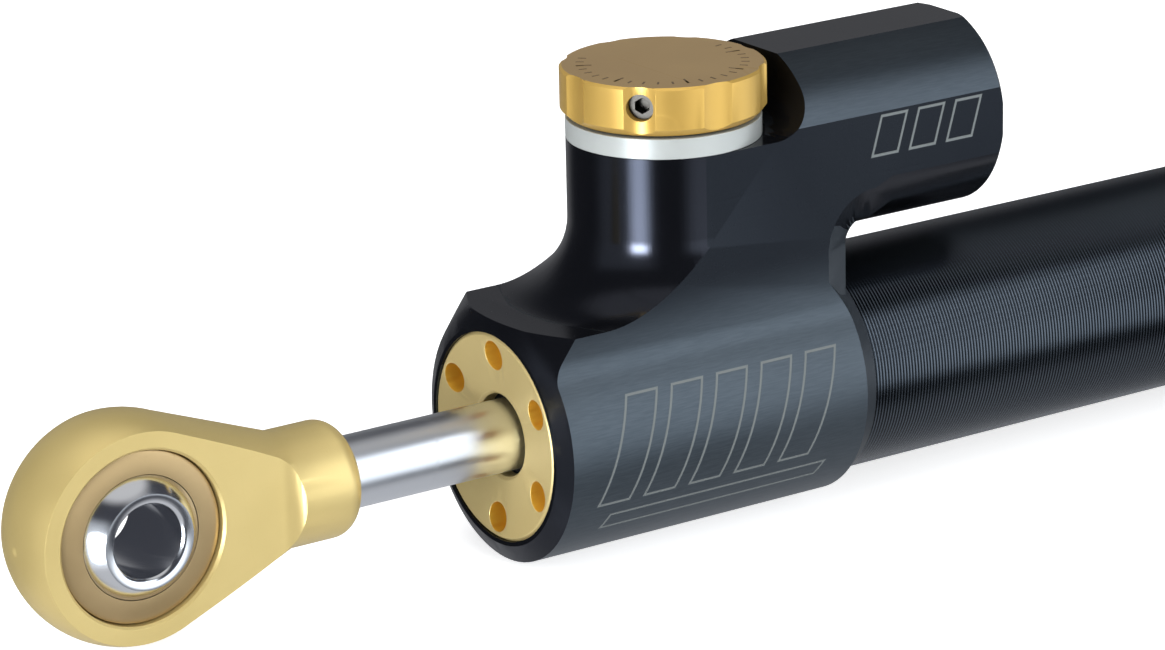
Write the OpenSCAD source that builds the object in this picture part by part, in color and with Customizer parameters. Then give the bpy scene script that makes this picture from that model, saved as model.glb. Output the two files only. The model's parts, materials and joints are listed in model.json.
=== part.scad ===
// Motorcycle steering damper with a through rod, a rod end, a valve housing with a click adjuster and a reservoir.
// The origin is the centre of the rod end's ball. X runs along the rod into the tube, Y along the
// ball's bore, and Z up through the adjuster knob. All sizes are in millimetres.

/* [Rod end] */
// Bore of the ball, for the mounting bolt
bolt_bore_d = 8; // [6:0.5:9]
// Diameter of the ball
ball_d = 15.9; // [15:0.1:16.4]
// Width of the ball between its flat ends
ball_w = 12; // [10.5:0.5:13]
// Chamfer at each end of the ball's bore
ball_chamfer = 0.4; // [0.2:0.1:0.6]
// Outer diameter of the bronze race
race_d = 19; // [18.4:0.1:20]
// Width of the bronze race
race_w = 8.4; // [7:0.1:9]
// Diameter of the eye's ball-shaped head
eye_d = 25; // [24.4:0.1:28]
// Width of the eye between its milled flats
eye_w = 9.6; // [9:0.1:11]
// Angle of the eye's tapered neck from the rod's axis
neck_angle = 20.5; // [18:0.5:24]
// Diameter of the collar that the rod screws into
collar_d = 12.9; // [11.5:0.1:14]
// Distance from the ball's centre to the collar's rear face
collar_end = 26.3; // [25.5:0.1:32]
// Rounding of the collar's rear edge
collar_round = 2.3; // [0.5:0.1:2.4]
// Where the milled flats end, measured from the ball's centre
flat_end = 18.9; // [18:0.1:21]
// Radius that the milling cutter leaves at the end of the flats
flat_fillet = 2.8; // [0.5:0.1:3]

/* [Rod and piston] */
// Diameter of the piston rod
rod_d = 8; // [7:0.5:9]
// Diameter of the rod's threaded end inside the collar
spigot_d = 6; // [4:0.5:6]
// Length of the rod's threaded end
spigot_len = 9.5; // [6:0.5:10]
// How deep the full rod diameter sits in the collar
rod_socket = 4; // [2:0.5:6]
// Rod shown between the collar and the front gland at rest
rod_shown = 19.9; // [17:0.1:40]
// How far the rod can still go in from rest
retract = 16; // [4:1:16]
// Whole travel of the rod
stroke = 75; // [50:1:90]
// Rod left outside the rear gland when the rod is fully out
tail_left = 3; // [1:0.5:10]
// Width of the piston
piston_w = 10; // [9:0.5:16]
// Thickness of the piston's circlips
clip_t = 1; // [0.8:0.1:1.5]
// Width of the piston's guide ring
guide_w = 4; // [2:0.5:5]
// Thickness of the piston's guide ring
guide_t = 0.9; // [0.6:0.1:1.2]

/* [Tubes] */
// Outer diameter of the outer tube
tube_d = 25.4; // [25.2:0.1:26]
// Wall of the outer tube
tube_wall = 1.6; // [1.3:0.1:1.8]
// Bore of the inner cylinder that the piston runs in
cylinder_bore = 16; // [15:0.5:16.5]
// Wall of the inner cylinder
cylinder_wall = 1.5; // [1:0.1:1.6]
// How far the outer tube screws into the housing
tube_grip = 12.7; // [9:0.1:13]
// Depth that the tube's threaded end is turned down
tube_thread = 0.3; // [0.2:0.05:0.4]

/* [Glands] */
// Rim of the housing left round the front gland, up to the barrel's diameter
gland_rim = 2.5; // [2.3:0.1:2.8]
// Length of each gland
gland_len = 14; // [13.5:0.1:18]
// Chamfer round each gland's face
gland_chamfer = 0.4; // [0.3:0.1:1]
// Number of pin-wrench holes in each gland
pin_holes = 6; // [4:1:8]
// Diameter of the pin-wrench holes
pin_hole_d = 3.3; // [2.5:0.1:3.4]
// Depth of the pin-wrench holes
pin_hole_depth = 3; // [2:0.5:4]
// Distance from a gland's rim to the centres of its pin-wrench holes
pin_hole_inset = 2.4; // [2.3:0.1:2.8]
// Diameter of each gland's entry, around the rod
entry_d = 9.3; // [9.2:0.1:9.8]
// How deep each gland's face is dished towards the entry
face_dish = 0.8; // [0.4:0.1:1]
// Depth of each gland's entry
entry_depth = 2.6; // [1.5:0.1:3]

/* [Valve housing] */
// Wall of the barrel round the tube
barrel_wall = 1.5; // [1.4:0.1:2]
// Length of the barrel
barrel_len = 42.5; // [41:0.1:46]
// Length of the nose's first cone, from the gland's rim to the barrel's diameter
nose_chamfer = 1; // [0.6:0.1:1.3]
// Flat land between the gland and the nose's first cone
nose_land = 0.5; // [0.3:0.1:0.8]
// Height of the shelf in front of the tower
shelf_z = 13.2; // [12.6:0.1:13.6]
// How deep the web's sides are milled into the tower
side_cut = 0.05; // [0.03:0.01:0.2]
// Radius of the blend from the web's sides to the barrel
web_blend = 5; // [2:0.5:7]
// Distance from the housing's front face to the tower's axis
tower_x = 23.2; // [22.6:0.1:26]
// Diameter of the tower
tower_d = 21.6; // [21.6:0.1:22.4]
// Height of the tower's top
tower_z = 30.3; // [29.5:0.1:33]
// Radius of the flare from the tower to the shelf
flare_r = 8; // [5:0.5:8.5]
// Distance from the housing's front face to the web's rear face
web_rear = 37.6; // [37:0.1:40]
// Length of the bevel along the web's rear edges
bevel_x = 3.8; // [3.4:0.1:4.2]
// Depth of the bevel into the web's sides
bevel_y = 2; // [1.6:0.1:2.2]
// Radius of the notch between the web and the stub
notch_r = 6.5; // [4:0.5:7.5]
// Height of the notch's roof
notch_z = 22.7; // [22:0.1:23.4]
// Length of the chamfer at the barrel's rear end
tail_chamfer = 2.2; // [1:0.1:3]

/* [Reservoir] */
// Diameter of the reservoir stub
stub_d = 22.8; // [22.6:0.1:24]
// Height of the stub's axis
stub_z = 27.5; // [27.2:0.1:29]
// Height of the flat milled on the stub's top
stub_flat_z = 38.1; // [37.6:0.1:39]
// Distance from the housing's front face to the stub's end face
stub_end = 62.1; // [60:0.1:70]
// Distance from the housing's front face to the wall behind the knob
pocket_x = 35.6; // [35.3:0.1:37]
// Radius at the foot of the wall behind the knob
pocket_r = 5; // [2:0.5:6]
// Bore of the reservoir
reservoir_d = 17; // [15:0.5:17.5]
// Depth of the reservoir's bore from the stub's end face
reservoir_depth = 24; // [23:0.5:25]
// Thickness of the reservoir's cap
cap_t = 3; // [2:0.5:4]
// How far the cap sits back from the stub's end face
cap_inset = 1.6; // [1.4:0.1:2.5]
// Length of the floating piston
float_len = 6; // [5:0.5:7]
// Wire diameter of the reservoir's spring
spring_wire = 1.2; // [0.8:0.1:1.4]
// Curls in the reservoir's spring
spring_curls = 3; // [2:1:3]

/* [Adjuster] */
// Height of the click ring
click_ring_h = 2.3; // [2:0.1:3]
// Running gap between the click ring and the knob
knob_gap = 0.3; // [0.2:0.1:0.6]
// Diameter of the knob
knob_d = 22.7; // [22:0.1:23]
// Height of the knob
knob_h = 5.5; // [5:0.1:7]
// Chamfer round the knob's top
knob_top_chamfer = 0.3; // [0.2:0.1:0.8]
// Chamfer round the knob's foot
knob_foot_chamfer = 0.8; // [0.3:0.1:1]
// Number of finger flutes round the knob
flutes = 8; // [6:1:10]
// Radius of each finger flute
flute_r = 4; // [3:0.5:6]
// Depth of each finger flute
flute_depth = 0.55; // [0.3:0.05:0.8]
// Angle of the grub screw from X, at rest
grub_angle = 222; // [180:1:270]
// Diameter of the grub screw
grub_d = 3; // [2.5:0.5:3]
// Width across the flats of the grub screw's socket
grub_hex = 1.5; // [1.3:0.1:1.7]
// Diameter of the adjuster spindle
spindle_d = 6; // [5:0.5:6.5]
// Diameter of the valve bore in the tower
valve_bore_d = 14; // [13.4:0.1:14.6]
// Height of the valve bore's floor
valve_floor_z = 16; // [15.5:0.1:17]
// Height of the adjuster cartridge
cartridge_h = 8.6; // [8.2:0.1:9]
// Pitch of the needle's adjusting thread
needle_pitch = 2.5; // [1:0.1:2.5]
// Whole turn of the knob between its stops, in degrees
knob_turn = 300; // [180:10:320]
// Diameter of the detent ball
detent_d = 2; // [1.6:0.1:2.2]

/* [Fits] */
// Running clearance of rods, pistons and spindles, on the radius
run_gap = 0.03; // [0.02:0.01:0.05]
// Clearance of pieces that are pressed, screwed or clipped in, on the radius
seat_gap = 0.02; // [0.01:0.01:0.04]
// Clearance of the ball in its race, on the radius
ball_gap = 0.05; // [0.03:0.01:0.1]
// Clearance round pieces that stand beside each other
part_gap = 0.3; // [0.15:0.05:0.4]

/* [Hidden] */
$fn = 96;
through = 60;
rod_r = rod_d / 2;
eye_r = eye_d / 2;
collar_r = collar_d / 2;
tube_r = tube_d / 2;
thread_r = tube_r - tube_thread;
barrel_r = tube_r + barrel_wall;
gland_r = barrel_r - gland_rim;
tube_in_r = tube_r - tube_wall;
cyl_in_r = cylinder_bore / 2;
cyl_out_r = cyl_in_r + cylinder_wall;
rear_gland_r = tube_in_r - seat_gap;
piston_groove = 0.9;
piston_gap = 0.12;
race_chamfer = 0.3;

// Places along X
front_x = collar_end + rod_shown;
gland_back_x = front_x + gland_len;
cylinder_seat = 1.5;
piston_stack = piston_w + 2 * clip_t;
end_room = 0.5;
rear_gland_x = gland_back_x + stroke + piston_stack + 2 * end_room;
tube_end_x = rear_gland_x + gland_len;
piston_x = rear_gland_x - end_room - piston_stack / 2 - retract;
rod_end_x = tube_end_x + stroke - retract + tail_left;
barrel_end_x = front_x + barrel_len;
tube_front_x = barrel_end_x - tube_grip;
spindle_x = front_x + tower_x;
web_rear_x = front_x + web_rear;
stub_end_x = front_x + stub_end;
pocket_wall_x = front_x + pocket_x;

// Places inside each gland, measured from its face
wiper_w = 2.4;
wiper_r = rod_r + 2.3;
seal_w = 2.6;
seal_r = rod_r + 2.6;
wall_w = 0.8;
bore_r = rod_r + 0.3;
bush_r = rod_r + 1.4;
seal_u = entry_depth + wiper_w + wall_w;
bush_u = seal_u + seal_w + wall_w;
bush_len = gland_len - cylinder_seat - bush_u;
gland_ring_u = pin_hole_depth + 2;
gland_ring_w = 2.2;
gland_groove = 1.4;

// Places in the housing
port_r = 1.2;
front_port_x = spindle_x - valve_bore_d / 2 + port_r + 0.1;
cylinder_groove = 0.9;
cylinder_groove_w = 1.7;
cylinder_ring_x = front_port_x + port_r + cylinder_groove_w / 2 + 0.4;
gallery_x = cylinder_ring_x + cylinder_groove_w / 2 + 0.4;
seat_r = 1.5;
tower_r = tower_d / 2;
web_r = tower_r - side_cut;
web_w = 2 * web_r;
web_run_out = 4;
notch_run = 3.6;
core_r = notch_r - bevel_x;
core_y = web_r - bevel_y;
bevel_slope = bevel_x / bevel_y;
over = 0.5;
blend_z = sqrt(pow(barrel_r + web_blend, 2) - pow(web_r + web_blend, 2));
bite = 0.02;
tube_groove = 0.8;
tube_groove_w = 1.5;
tube_ring_x = tube_front_x + 2.5;

// Places in the reservoir
reservoir_r = reservoir_d / 2;
reservoir_x = stub_end_x - reservoir_depth;
cap_x = stub_end_x - cap_inset - cap_t;
oil_len = 5;
float_x = reservoir_x + oil_len;
clip_groove = 0.6;
float_groove = 1.3;
float_groove_w = 1.8;
float_ring_x = float_x + 1.5 + float_groove_w / 2;
cap_groove = 1.1;
cap_groove_w = 1.4;
cap_ring_x = cap_x + 0.8 + cap_groove_w / 2;
feed_z = stub_z - reservoir_r + 1.5;
spring_len = cap_x - float_x - float_len;
spring_mid_r = reservoir_r - 2.2;

// Places in the adjuster
knob_z = tower_z + click_ring_h + knob_gap;
knob_top_z = knob_z + knob_h;
knob_r = knob_d / 2;
valve_r = valve_bore_d / 2;
cartridge_z = tower_z - cartridge_h;
spindle_r = spindle_d / 2;
flange_r = spindle_r + 0.7;
flange_h = 0.9;
chamber_r = flange_r + 0.8;
key_half = flange_r + 0.05;
chamber_h = 4;
cartridge_groove = 0.9;
cartridge_groove_w = 1.3;
cartridge_ring_z = cartridge_z + 1.4 + cartridge_groove_w / 2;
spindle_groove = 1.1;
spindle_groove_w = 1.5;
spindle_ring_z = tower_z - 0.9 - spindle_groove_w / 2;
chamber_top_z = cartridge_z + chamber_h;
flange_z = chamber_top_z - flange_h - run_gap;
stud_r = 1.3;
needle_h = 3.9;
needle_floor = 0.5;
stud_len = needle_h - needle_floor;
needle_travel = needle_pitch * knob_turn / 360;
needle_r = chamber_r - 0.15;
needle_half = key_half - 0.06;
needle_top_z = flange_z - needle_travel / 2 - 0.25;
needle_z = needle_top_z - needle_h;
tip_z = valve_floor_z + needle_travel / 2 - 0.4;
spindle_top_z = knob_top_z - 1.4;
grub_z = knob_z + knob_h / 2 + 0.4;
grub_flat = 0.5;
grub_sunk = 0.4;
grub_len = knob_r - flute_depth - spindle_r - grub_sunk;
detent_r = detent_d / 2;
detent_gap = 0.1;
detent_reach = knob_r - 2.6;
detent_z = tower_z + click_ring_h + knob_gap / 2;
detent_hole_h = 3.2;
stop_pin_r = 0.75;
stop_reach = spindle_r + 2.2;
stop_slot_h = 1.6;
stop_pin_h = knob_gap + 1.1;

// Turns a profile about X. The profile's x is the radius and its y the distance along X.
module turned(x = 0) {
    translate([x, 0, 0]) rotate([0, 90, 0]) rotate_extrude() children();
}

// A round bar along X
module bar(r, x0, x1) {
    translate([x0, 0, 0]) rotate([0, 90, 0]) cylinder(r = r, h = x1 - x0);
}

// A round tube along X
module pipe(r_out, r_in, x0, x1) {
    turned(x0) translate([r_in, 0]) square([r_out - r_in, x1 - x0]);
}

// Half of an upright plane through a rubber ring that fills the room between two radii
module ring_section(r_in, r_out) {
    translate([(r_in + r_out) / 2, 0]) circle(r = (r_out - r_in) / 2 - seat_gap, $fn = 32);
}

// A rubber ring round X
module o_ring(r_in, r_out, x) {
    turned(x) ring_section(r_in, r_out);
}

// A hole along Z
module upright(r, x, z0, z1) {
    translate([x, 0, z0]) cylinder(r = r, h = z1 - z0);
}

// Repeats a piece about X
module around_x(count) {
    for (i = [0:count - 1]) rotate([i * 360 / count, 0, 0]) children();
}

// Points of a coil about Z, with eight rings to a curl
function coil_centre(i, r, pitch) = [r * cos(45 * i), r * sin(45 * i), pitch * i / 8];
function coil_ring(i, r, pitch, wire_r) = [for (k = [0:5])
    coil_centre(i, r, pitch) + wire_r * [cos(60 * k) * cos(45 * i), cos(60 * k) * sin(45 * i), sin(60 * k)]];
function coil_gap(r, pitch, wire_r, last) =
    min([for (i = [0:last - 8]) norm(coil_centre(i + 8, r, pitch) - coil_centre(i, r, pitch))]) - 2 * wire_r;

// One unbroken six-sided wire wound about Z
module coil(r, wire_r, curls, length) {
    last = 8 * curls;
    pitch = (length - 2 * wire_r) / curls;
    points = [for (i = [0:last]) each coil_ring(i, r, pitch, wire_r)];
    walls = [for (i = [0:last - 1], k = [0:5]) let(a = 6 * i + k, b = 6 * i + (k + 1) % 6)
        each [[a, b + 6, b], [a, a + 6, b + 6]]];
    ends = [for (k = [1:4]) each [[0, k, k + 1], [6 * last, 6 * last + k + 1, 6 * last + k]]];
    echo(coil_gap = coil_gap(r, pitch, wire_r, last));
    translate([0, 0, wire_r]) polyhedron(points, concat(walls, ends));
}

// Rod end

// Half outline of the turned eye, neck and collar
module eye_outline() {
    tangent_x = eye_r * sin(neck_angle);
    tangent_r = eye_r * cos(neck_angle) - bite;
    slope = tan(neck_angle);
    neck_x = tangent_x + (tangent_r - collar_r) / slope;
    intersection() {
        circle(r = eye_r);
        translate([0, -eye_r]) square([eye_r, 2 * eye_r]);
    }
    polygon([[0, 0], [tangent_r, tangent_x], [collar_r, neck_x], [0, neck_x]]);
    translate([0, neck_x - 1]) square([collar_r, collar_end - collar_round - neck_x + 1]);
    translate([0, neck_x]) square([collar_r - collar_round, collar_end - neck_x]);
    translate([collar_r - collar_round, collar_end - collar_round]) circle(r = collar_round);
}

// What the milling cutter takes from one side of the eye
module flat_cut() {
    half = eye_w / 2;
    corner_x = flat_end - flat_fillet;
    linear_extrude(through, center = true) {
        translate([-through / 2, half]) square([through / 2 + corner_x, through / 2]);
        translate([0, half + flat_fillet]) square([flat_end, through / 2]);
        translate([corner_x, half + flat_fillet]) circle(r = flat_fillet + bite / 4);
    }
}

module rod_end() color("goldenrod") difference() {
    turned() eye_outline();
    flat_cut();
    mirror([0, 1, 0]) flat_cut();
    rotate([90, 0, 0]) cylinder(r = race_d / 2 + seat_gap, h = through, center = true);
    for (side = [-1, 1]) scale([1, side, 1]) translate([0, eye_w / 2, 0]) rotate([-90, 0, 0])
        cylinder(r1 = race_d / 2, r2 = race_d / 2 + 2 * race_chamfer, h = 2 * race_chamfer, center = true);
    bar(rod_r + seat_gap, collar_end - rod_socket, collar_end + 1);
    bar(spigot_d / 2 + seat_gap, collar_end - rod_socket - spigot_len - 0.5, collar_end);
}

// Turns a profile about Y. The profile's x is the radius and its y the distance along the ball's bore.
module turned_y() {
    rotate([-90, 0, 0]) rotate_extrude() children();
}

module bearing_race() color("peru") turned_y() difference() {
    translate([0, -race_w / 2]) square([race_d / 2, race_w]);
    for (side = [-1, 1]) translate([race_d / 2, side * race_w / 2]) rotate(45) square(1, center = true);
    circle(r = ball_d / 2 + ball_gap);
}

module bearing_ball() color("gainsboro") turned_y() difference() {
    intersection() {
        circle(r = ball_d / 2);
        translate([0, -ball_w / 2]) square([ball_d, ball_w]);
    }
    translate([0, -ball_w]) square([bolt_bore_d / 2, 2 * ball_w]);
    for (side = [0, 1]) mirror([0, side]) translate([0, ball_w / 2 - ball_chamfer])
        polygon([[0, 0], [bolt_bore_d / 2, 0], [bolt_bore_d / 2 + ball_chamfer + 1, ball_chamfer + 1],
            [0, ball_chamfer + 1]]);
}

// Rod and piston

module piston_rod() color("lightgray") difference() {
    union() {
        turned() polygon([[0, collar_end - rod_socket], [rod_r, collar_end - rod_socket], [rod_r, rod_end_x - 0.6],
            [rod_r - 0.6, rod_end_x], [0, rod_end_x]]);
        turned() polygon([[0, collar_end - rod_socket - spigot_len], [spigot_d / 2 - 0.5,
            collar_end - rod_socket - spigot_len], [spigot_d / 2, collar_end - rod_socket - spigot_len + 0.5],
            [spigot_d / 2, collar_end - rod_socket + 0.1], [0, collar_end - rod_socket + 0.1]]);
    }
    for (side = [-1, 1]) translate([piston_x + side * (piston_w + clip_t) / 2, 0, 0])
        pipe(rod_r + 1, rod_r - clip_groove, -clip_t / 2 - seat_gap, clip_t / 2 + seat_gap);
}

module piston() color("darkgray") difference() {
    translate([piston_x, 0, 0]) turned() difference() {
        translate([rod_r + seat_gap, -piston_w / 2]) square([cyl_in_r - piston_gap - rod_r - seat_gap, piston_w]);
        translate([cyl_in_r - guide_t - 0.15, -guide_w / 2 - run_gap]) square([through, guide_w + 2 * run_gap]);
        for (side = [-1, 1]) translate([cyl_in_r - piston_gap, side * piston_w / 2]) rotate(45)
            square(0.8, center = true);
    }
    pipe(rod_r + piston_groove, rod_r, piston_x - piston_groove / 2 - 0.2, piston_x + piston_groove / 2 + 0.2);
}

module piston_o_ring() color("dimgray") o_ring(rod_r, rod_r + piston_groove, piston_x);

// One open spring clip about X
module circlip(r_in, r_out, x, t, open_angle) {
    difference() {
        pipe(r_out, r_in, x, x + t);
        rotate([open_angle, 0, 0]) translate([x - 1, -r_in * 0.45, 0]) cube([t + 2, r_in * 0.9, through]);
    }
}

module piston_circlips() color("slategray") for (side = [-1, 1])
    circlip(rod_r - clip_groove + seat_gap, rod_r + 1.3,
        piston_x + side * (piston_w + clip_t) / 2 - clip_t / 2, clip_t, 0);

module piston_guide_ring() color("ivory")
    pipe(cyl_in_r - run_gap, cyl_in_r - guide_t, piston_x - guide_w / 2, piston_x + guide_w / 2);

// Glands and rod seals

// A gland with its face at X = 0 and the cylinder's seat at its back
module gland(r) {
    difference() {
        turned() polygon([[0, face_dish], [entry_d / 2, face_dish], [r - gland_chamfer, 0],
            [r, gland_chamfer], [r, gland_len], [0, gland_len]]);
        bar(bore_r, -1, gland_len + 1);
        bar(entry_d / 2, -1, entry_depth);
        turned(face_dish) polygon([[0, -0.2], [entry_d / 2 + 0.5, -0.2], [entry_d / 2 - 0.1, 0.4], [0, 0.4]]);
        bar(wiper_r + seat_gap, entry_depth, entry_depth + wiper_w);
        bar(seal_r + seat_gap, seal_u, seal_u + seal_w);
        bar(bush_r + seat_gap, bush_u, gland_len);
        bar(cyl_out_r + seat_gap, gland_len - cylinder_seat, gland_len + 1);
        pipe(r + 1, r - gland_groove, gland_ring_u, gland_ring_u + gland_ring_w);
        around_x(pin_holes) translate([-1, 0, r - pin_hole_inset]) rotate([0, 90, 0])
            cylinder(r = pin_hole_d / 2, h = pin_hole_depth + 1);
    }
}

module wiper() difference() {
    pipe(wiper_r, rod_r + run_gap, entry_depth, entry_depth + wiper_w);
    turned(entry_depth) polygon([[0, -0.1], [rod_r + 1.2, -0.1], [rod_r + 0.2, 1], [rod_r + 0.2, 1.6],
        [rod_r + 0.9, wiper_w + 0.1], [0, wiper_w + 0.1]]);
    turned(entry_depth) polygon([[rod_r + 1.7, -0.1], [rod_r + 2.1, -0.1], [rod_r + 1.8, 0.5]]);
}

module rod_seal() difference() {
    pipe(seal_r, rod_r + run_gap, seal_u, seal_u + seal_w);
    turned(seal_u) polygon([[0, -0.1], [rod_r + 0.2, -0.1], [rod_r + 0.2, 0.8], [rod_r + 0.3, 1.6],
        [rod_r + 0.9, seal_w + 0.1], [0, seal_w + 0.1]]);
    turned(seal_u) polygon([[rod_r + 1.2, seal_w + 0.1], [rod_r + 1.5, seal_w - 1.2],
        [rod_r + 1.9, seal_w + 0.1]]);
}

module rod_bush() pipe(bush_r, rod_r + run_gap, bush_u, bush_u + bush_len);

module gland_o_ring(r) o_ring(r - gland_groove, r + seat_gap, gland_ring_u + gland_ring_w / 2);

// Puts a gland's pieces at the front or, turned about, at the rear
module at_front() translate([front_x, 0, 0]) children();

module at_rear() translate([tube_end_x, 0, 0]) mirror([1, 0, 0]) children();

module front_gland() color("gold") at_front() gland(gland_r);

module rear_gland() color("gold") at_rear() gland(rear_gland_r);

module front_wiper() color("dimgray") at_front() wiper();

module rear_wiper() color("dimgray") at_rear() wiper();

module front_rod_seal() color("darkslategray") at_front() rod_seal();

module rear_rod_seal() color("darkslategray") at_rear() rod_seal();

module front_rod_bush() color("peru") at_front() rod_bush();

module rear_rod_bush() color("peru") at_rear() rod_bush();

module front_gland_o_ring() color("dimgray") at_front() gland_o_ring(gland_r);

module rear_gland_o_ring() color("dimgray") at_rear() gland_o_ring(rear_gland_r);

// Valve housing

// Everything that the turned front and rear cones leave of the lower housing
module end_cones() {
    wide = 30;
    nose_x = front_x + nose_chamfer;
    chamfer_x = barrel_end_x - tail_chamfer;
    turned() polygon([[0, front_x], [gland_r + nose_land, front_x], [barrel_r, nose_x],
        [wide, nose_x + wide - barrel_r], [wide, chamfer_x - wide + barrel_r], [barrel_r, chamfer_x],
        [tube_r + 0.2, barrel_end_x], [0, barrel_end_x]]);
}

// The curved filling between one side of the web and the barrel
module web_filling() {
    centre = [web_r + web_blend, blend_z];
    foot = centre * (barrel_r - 0.5) / (barrel_r + web_blend);
    translate([front_x, 0, 0]) rotate([90, 0, 90]) linear_extrude(web_rear + web_run_out) difference() {
        polygon([[web_r - 0.5, blend_z], centre, foot, [web_r - 1.5, blend_z - 5]]);
        translate(centre) circle(r = web_blend + bite);
    }
}

// The barrel, cut down in front of the tower so that the shelf is flat
module barrel() difference() {
    bar(barrel_r, front_x, barrel_end_x);
    translate([front_x - 1, -through / 2, shelf_z - 0.5]) cube([tower_x + 1, through, through]);
}

// The lower housing: barrel, shelf block and flare, trimmed by the end cones
module lower_body() intersection() {
    union() {
        barrel();
        translate([front_x, -web_r, 0]) cube([web_rear + web_run_out, web_w, shelf_z]);
        web_filling();
        mirror([0, 1, 0]) web_filling();
        flare();
    }
    end_cones();
}

// The concave blend between the tower and the shelf
module flare() intersection() {
    translate([spindle_x, 0, 0]) rotate_extrude() difference() {
        square([tower_r + flare_r, shelf_z + flare_r]);
        translate([tower_r + flare_r + bite, shelf_z + flare_r + bite]) circle(r = flare_r + bite);
    }
    translate([front_x, -web_r, 0]) cube([tower_x + 1, web_w, through]);
}

// The web behind the tower, with the notch under the stub
module web() difference() {
    translate([spindle_x, -web_r, 0]) cube([web_rear_x + notch_r + notch_run - spindle_x, web_w, stub_z]);
    translate([web_rear_x + notch_r, 0, notch_z - notch_r]) {
        notch_round();
        notch_foot();
        notch_run_out();
    }
}

// The notch's round end, with a bevel from each side of the web
module notch_round() {
    rotate([90, 0, 0]) cylinder(r = core_r + bite, h = 2 * web_r, center = true);
    round_bevel();
    mirror([0, 1, 0]) round_bevel();
}

module round_bevel() translate([0, core_y, 0]) rotate([-90, 0, 0])
    cylinder(r1 = core_r + bite, r2 = core_r + bite + bevel_slope * (bevel_y + over), h = bevel_y + over);

// The notch below its round end, down to the barrel
module notch_foot() mirror([0, 0, 1]) linear_extrude(notch_z) polygon([[-core_r, core_y],
    [-notch_r - bevel_slope * over, web_r + over], [through, web_r + over], [through, -web_r - over],
    [-notch_r - bevel_slope * over, -web_r - over], [-core_r, -core_y]]);

// Where the notch's roof and bevels rise into the stub
module notch_run_out() {
    rise = 22.6;
    early = 1.6;
    translate([0, 0, notch_r]) rotate([0, -rise, 0]) translate([-early, 0, 0]) rotate([90, 0, 90])
        linear_extrude(3 * notch_run) polygon([[core_y, -bevel_x], [web_r + over, bevel_slope * over],
            [web_r + over, -2 * notch_r], [-web_r - over, -2 * notch_r], [-web_r - over, bevel_slope * over],
            [-core_y, -bevel_x]]);
}

// The tower before its top is cut with the pocket
module tower() upright(tower_r, spindle_x, shelf_z - 2, tower_z + 1);

// The turned stub with the flat on its top
module stub() difference() {
    translate([0, 0, stub_z]) turned() polygon([[0, spindle_x], [stub_d / 2, spindle_x],
        [stub_d / 2, stub_end_x - 0.5], [stub_d / 2 - 0.5, stub_end_x], [0, stub_end_x]]);
    translate([0, -through / 2, stub_flat_z]) cube([3 * through, through, through]);
}

// What is milled away over the tower and round the knob, with a round foot to the wall behind it
module knob_pocket() {
    translate([0, through / 2, 0]) rotate([90, 0, 0]) linear_extrude(through) {
        translate([0, tower_z]) square([pocket_wall_x - pocket_r, through]);
        translate([0, tower_z + pocket_r]) square([pocket_wall_x, through]);
        translate([pocket_wall_x - pocket_r, tower_z + pocket_r]) circle(r = pocket_r + bite / 2);
    }
    upright(tower_r + part_gap, spindle_x, tower_z, tower_z + through);
}

// Bores and ports of the housing
module housing_bores() {
    bar(gland_r + seat_gap, front_x - 1, gland_back_x);
    bar(cyl_out_r + seat_gap, gland_back_x - 1, tube_front_x);
    bar(cyl_out_r + cylinder_groove, cylinder_ring_x - cylinder_groove_w / 2,
        cylinder_ring_x + cylinder_groove_w / 2);
    bar(tube_in_r, gallery_x, tube_front_x + 1);
    bar(thread_r + seat_gap, tube_front_x, barrel_end_x + 1);
    upright(valve_r + seat_gap, spindle_x, valve_floor_z, tower_z + through);
    upright(seat_r, spindle_x, 0, valve_floor_z + 1);
    upright(port_r, front_port_x, 0, valve_floor_z + 1);
    translate([0, 0, feed_z]) bar(1, spindle_x, reservoir_x + 1);
    translate([0, 0, stub_z]) {
        bar(reservoir_r, reservoir_x, stub_end_x + 1);
        bar(reservoir_r + clip_groove, cap_x + cap_t, cap_x + cap_t + clip_t + 2 * seat_gap);
    }
}

module valve_housing() color([0.13, 0.14, 0.17]) difference() {
    union() {
        lower_body();
        intersection() {
            union() {
                tower();
                web();
                stub();
            }
            translate([front_x, -web_r, 0]) cube([through * 2, web_w, through]);
        }
    }
    knob_pocket();
    housing_bores();
}

// Tubes

module damper_tube() color([0.16, 0.17, 0.2]) difference() {
    turned() polygon([[tube_in_r, tube_front_x], [thread_r, tube_front_x], [thread_r, barrel_end_x],
        [tube_r, barrel_end_x], [tube_r, tube_end_x - 0.6], [tube_r - 0.6, tube_end_x], [tube_in_r, tube_end_x]]);
    pipe(tube_r, thread_r - tube_groove, tube_ring_x - tube_groove_w / 2, tube_ring_x + tube_groove_w / 2);
}

module inner_cylinder() color("silver") difference() {
    pipe(cyl_out_r, cyl_in_r, gland_back_x - cylinder_seat, rear_gland_x + cylinder_seat);
    upright(port_r, front_port_x, 0, through);
    around_x(4) translate([rear_gland_x - 2.5, -1.5, 0]) cube([2, 3, through]);
}

module tube_o_ring() color("dimgray") o_ring(thread_r - tube_groove, thread_r + seat_gap, tube_ring_x);

module cylinder_o_ring() color("dimgray") o_ring(cyl_out_r, cyl_out_r + cylinder_groove, cylinder_ring_x);

// Adjuster

module click_ring() color("whitesmoke") difference() {
    translate([spindle_x, 0, tower_z]) rotate_extrude() difference() {
        translate([spindle_r + 1, 0]) square([tower_r - spindle_r - 1, click_ring_h]);
        translate([detent_reach, detent_z - tower_z]) circle(r = detent_r + detent_gap, $fn = 32);
    }
    translate([spindle_x + stop_reach, 0, tower_z - 1]) cylinder(r = stop_pin_r + seat_gap, h = through);
}

module stop_pin() color("lightgray") translate([spindle_x + stop_reach, 0, tower_z])
    cylinder(r = stop_pin_r, h = click_ring_h + stop_pin_h);

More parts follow.
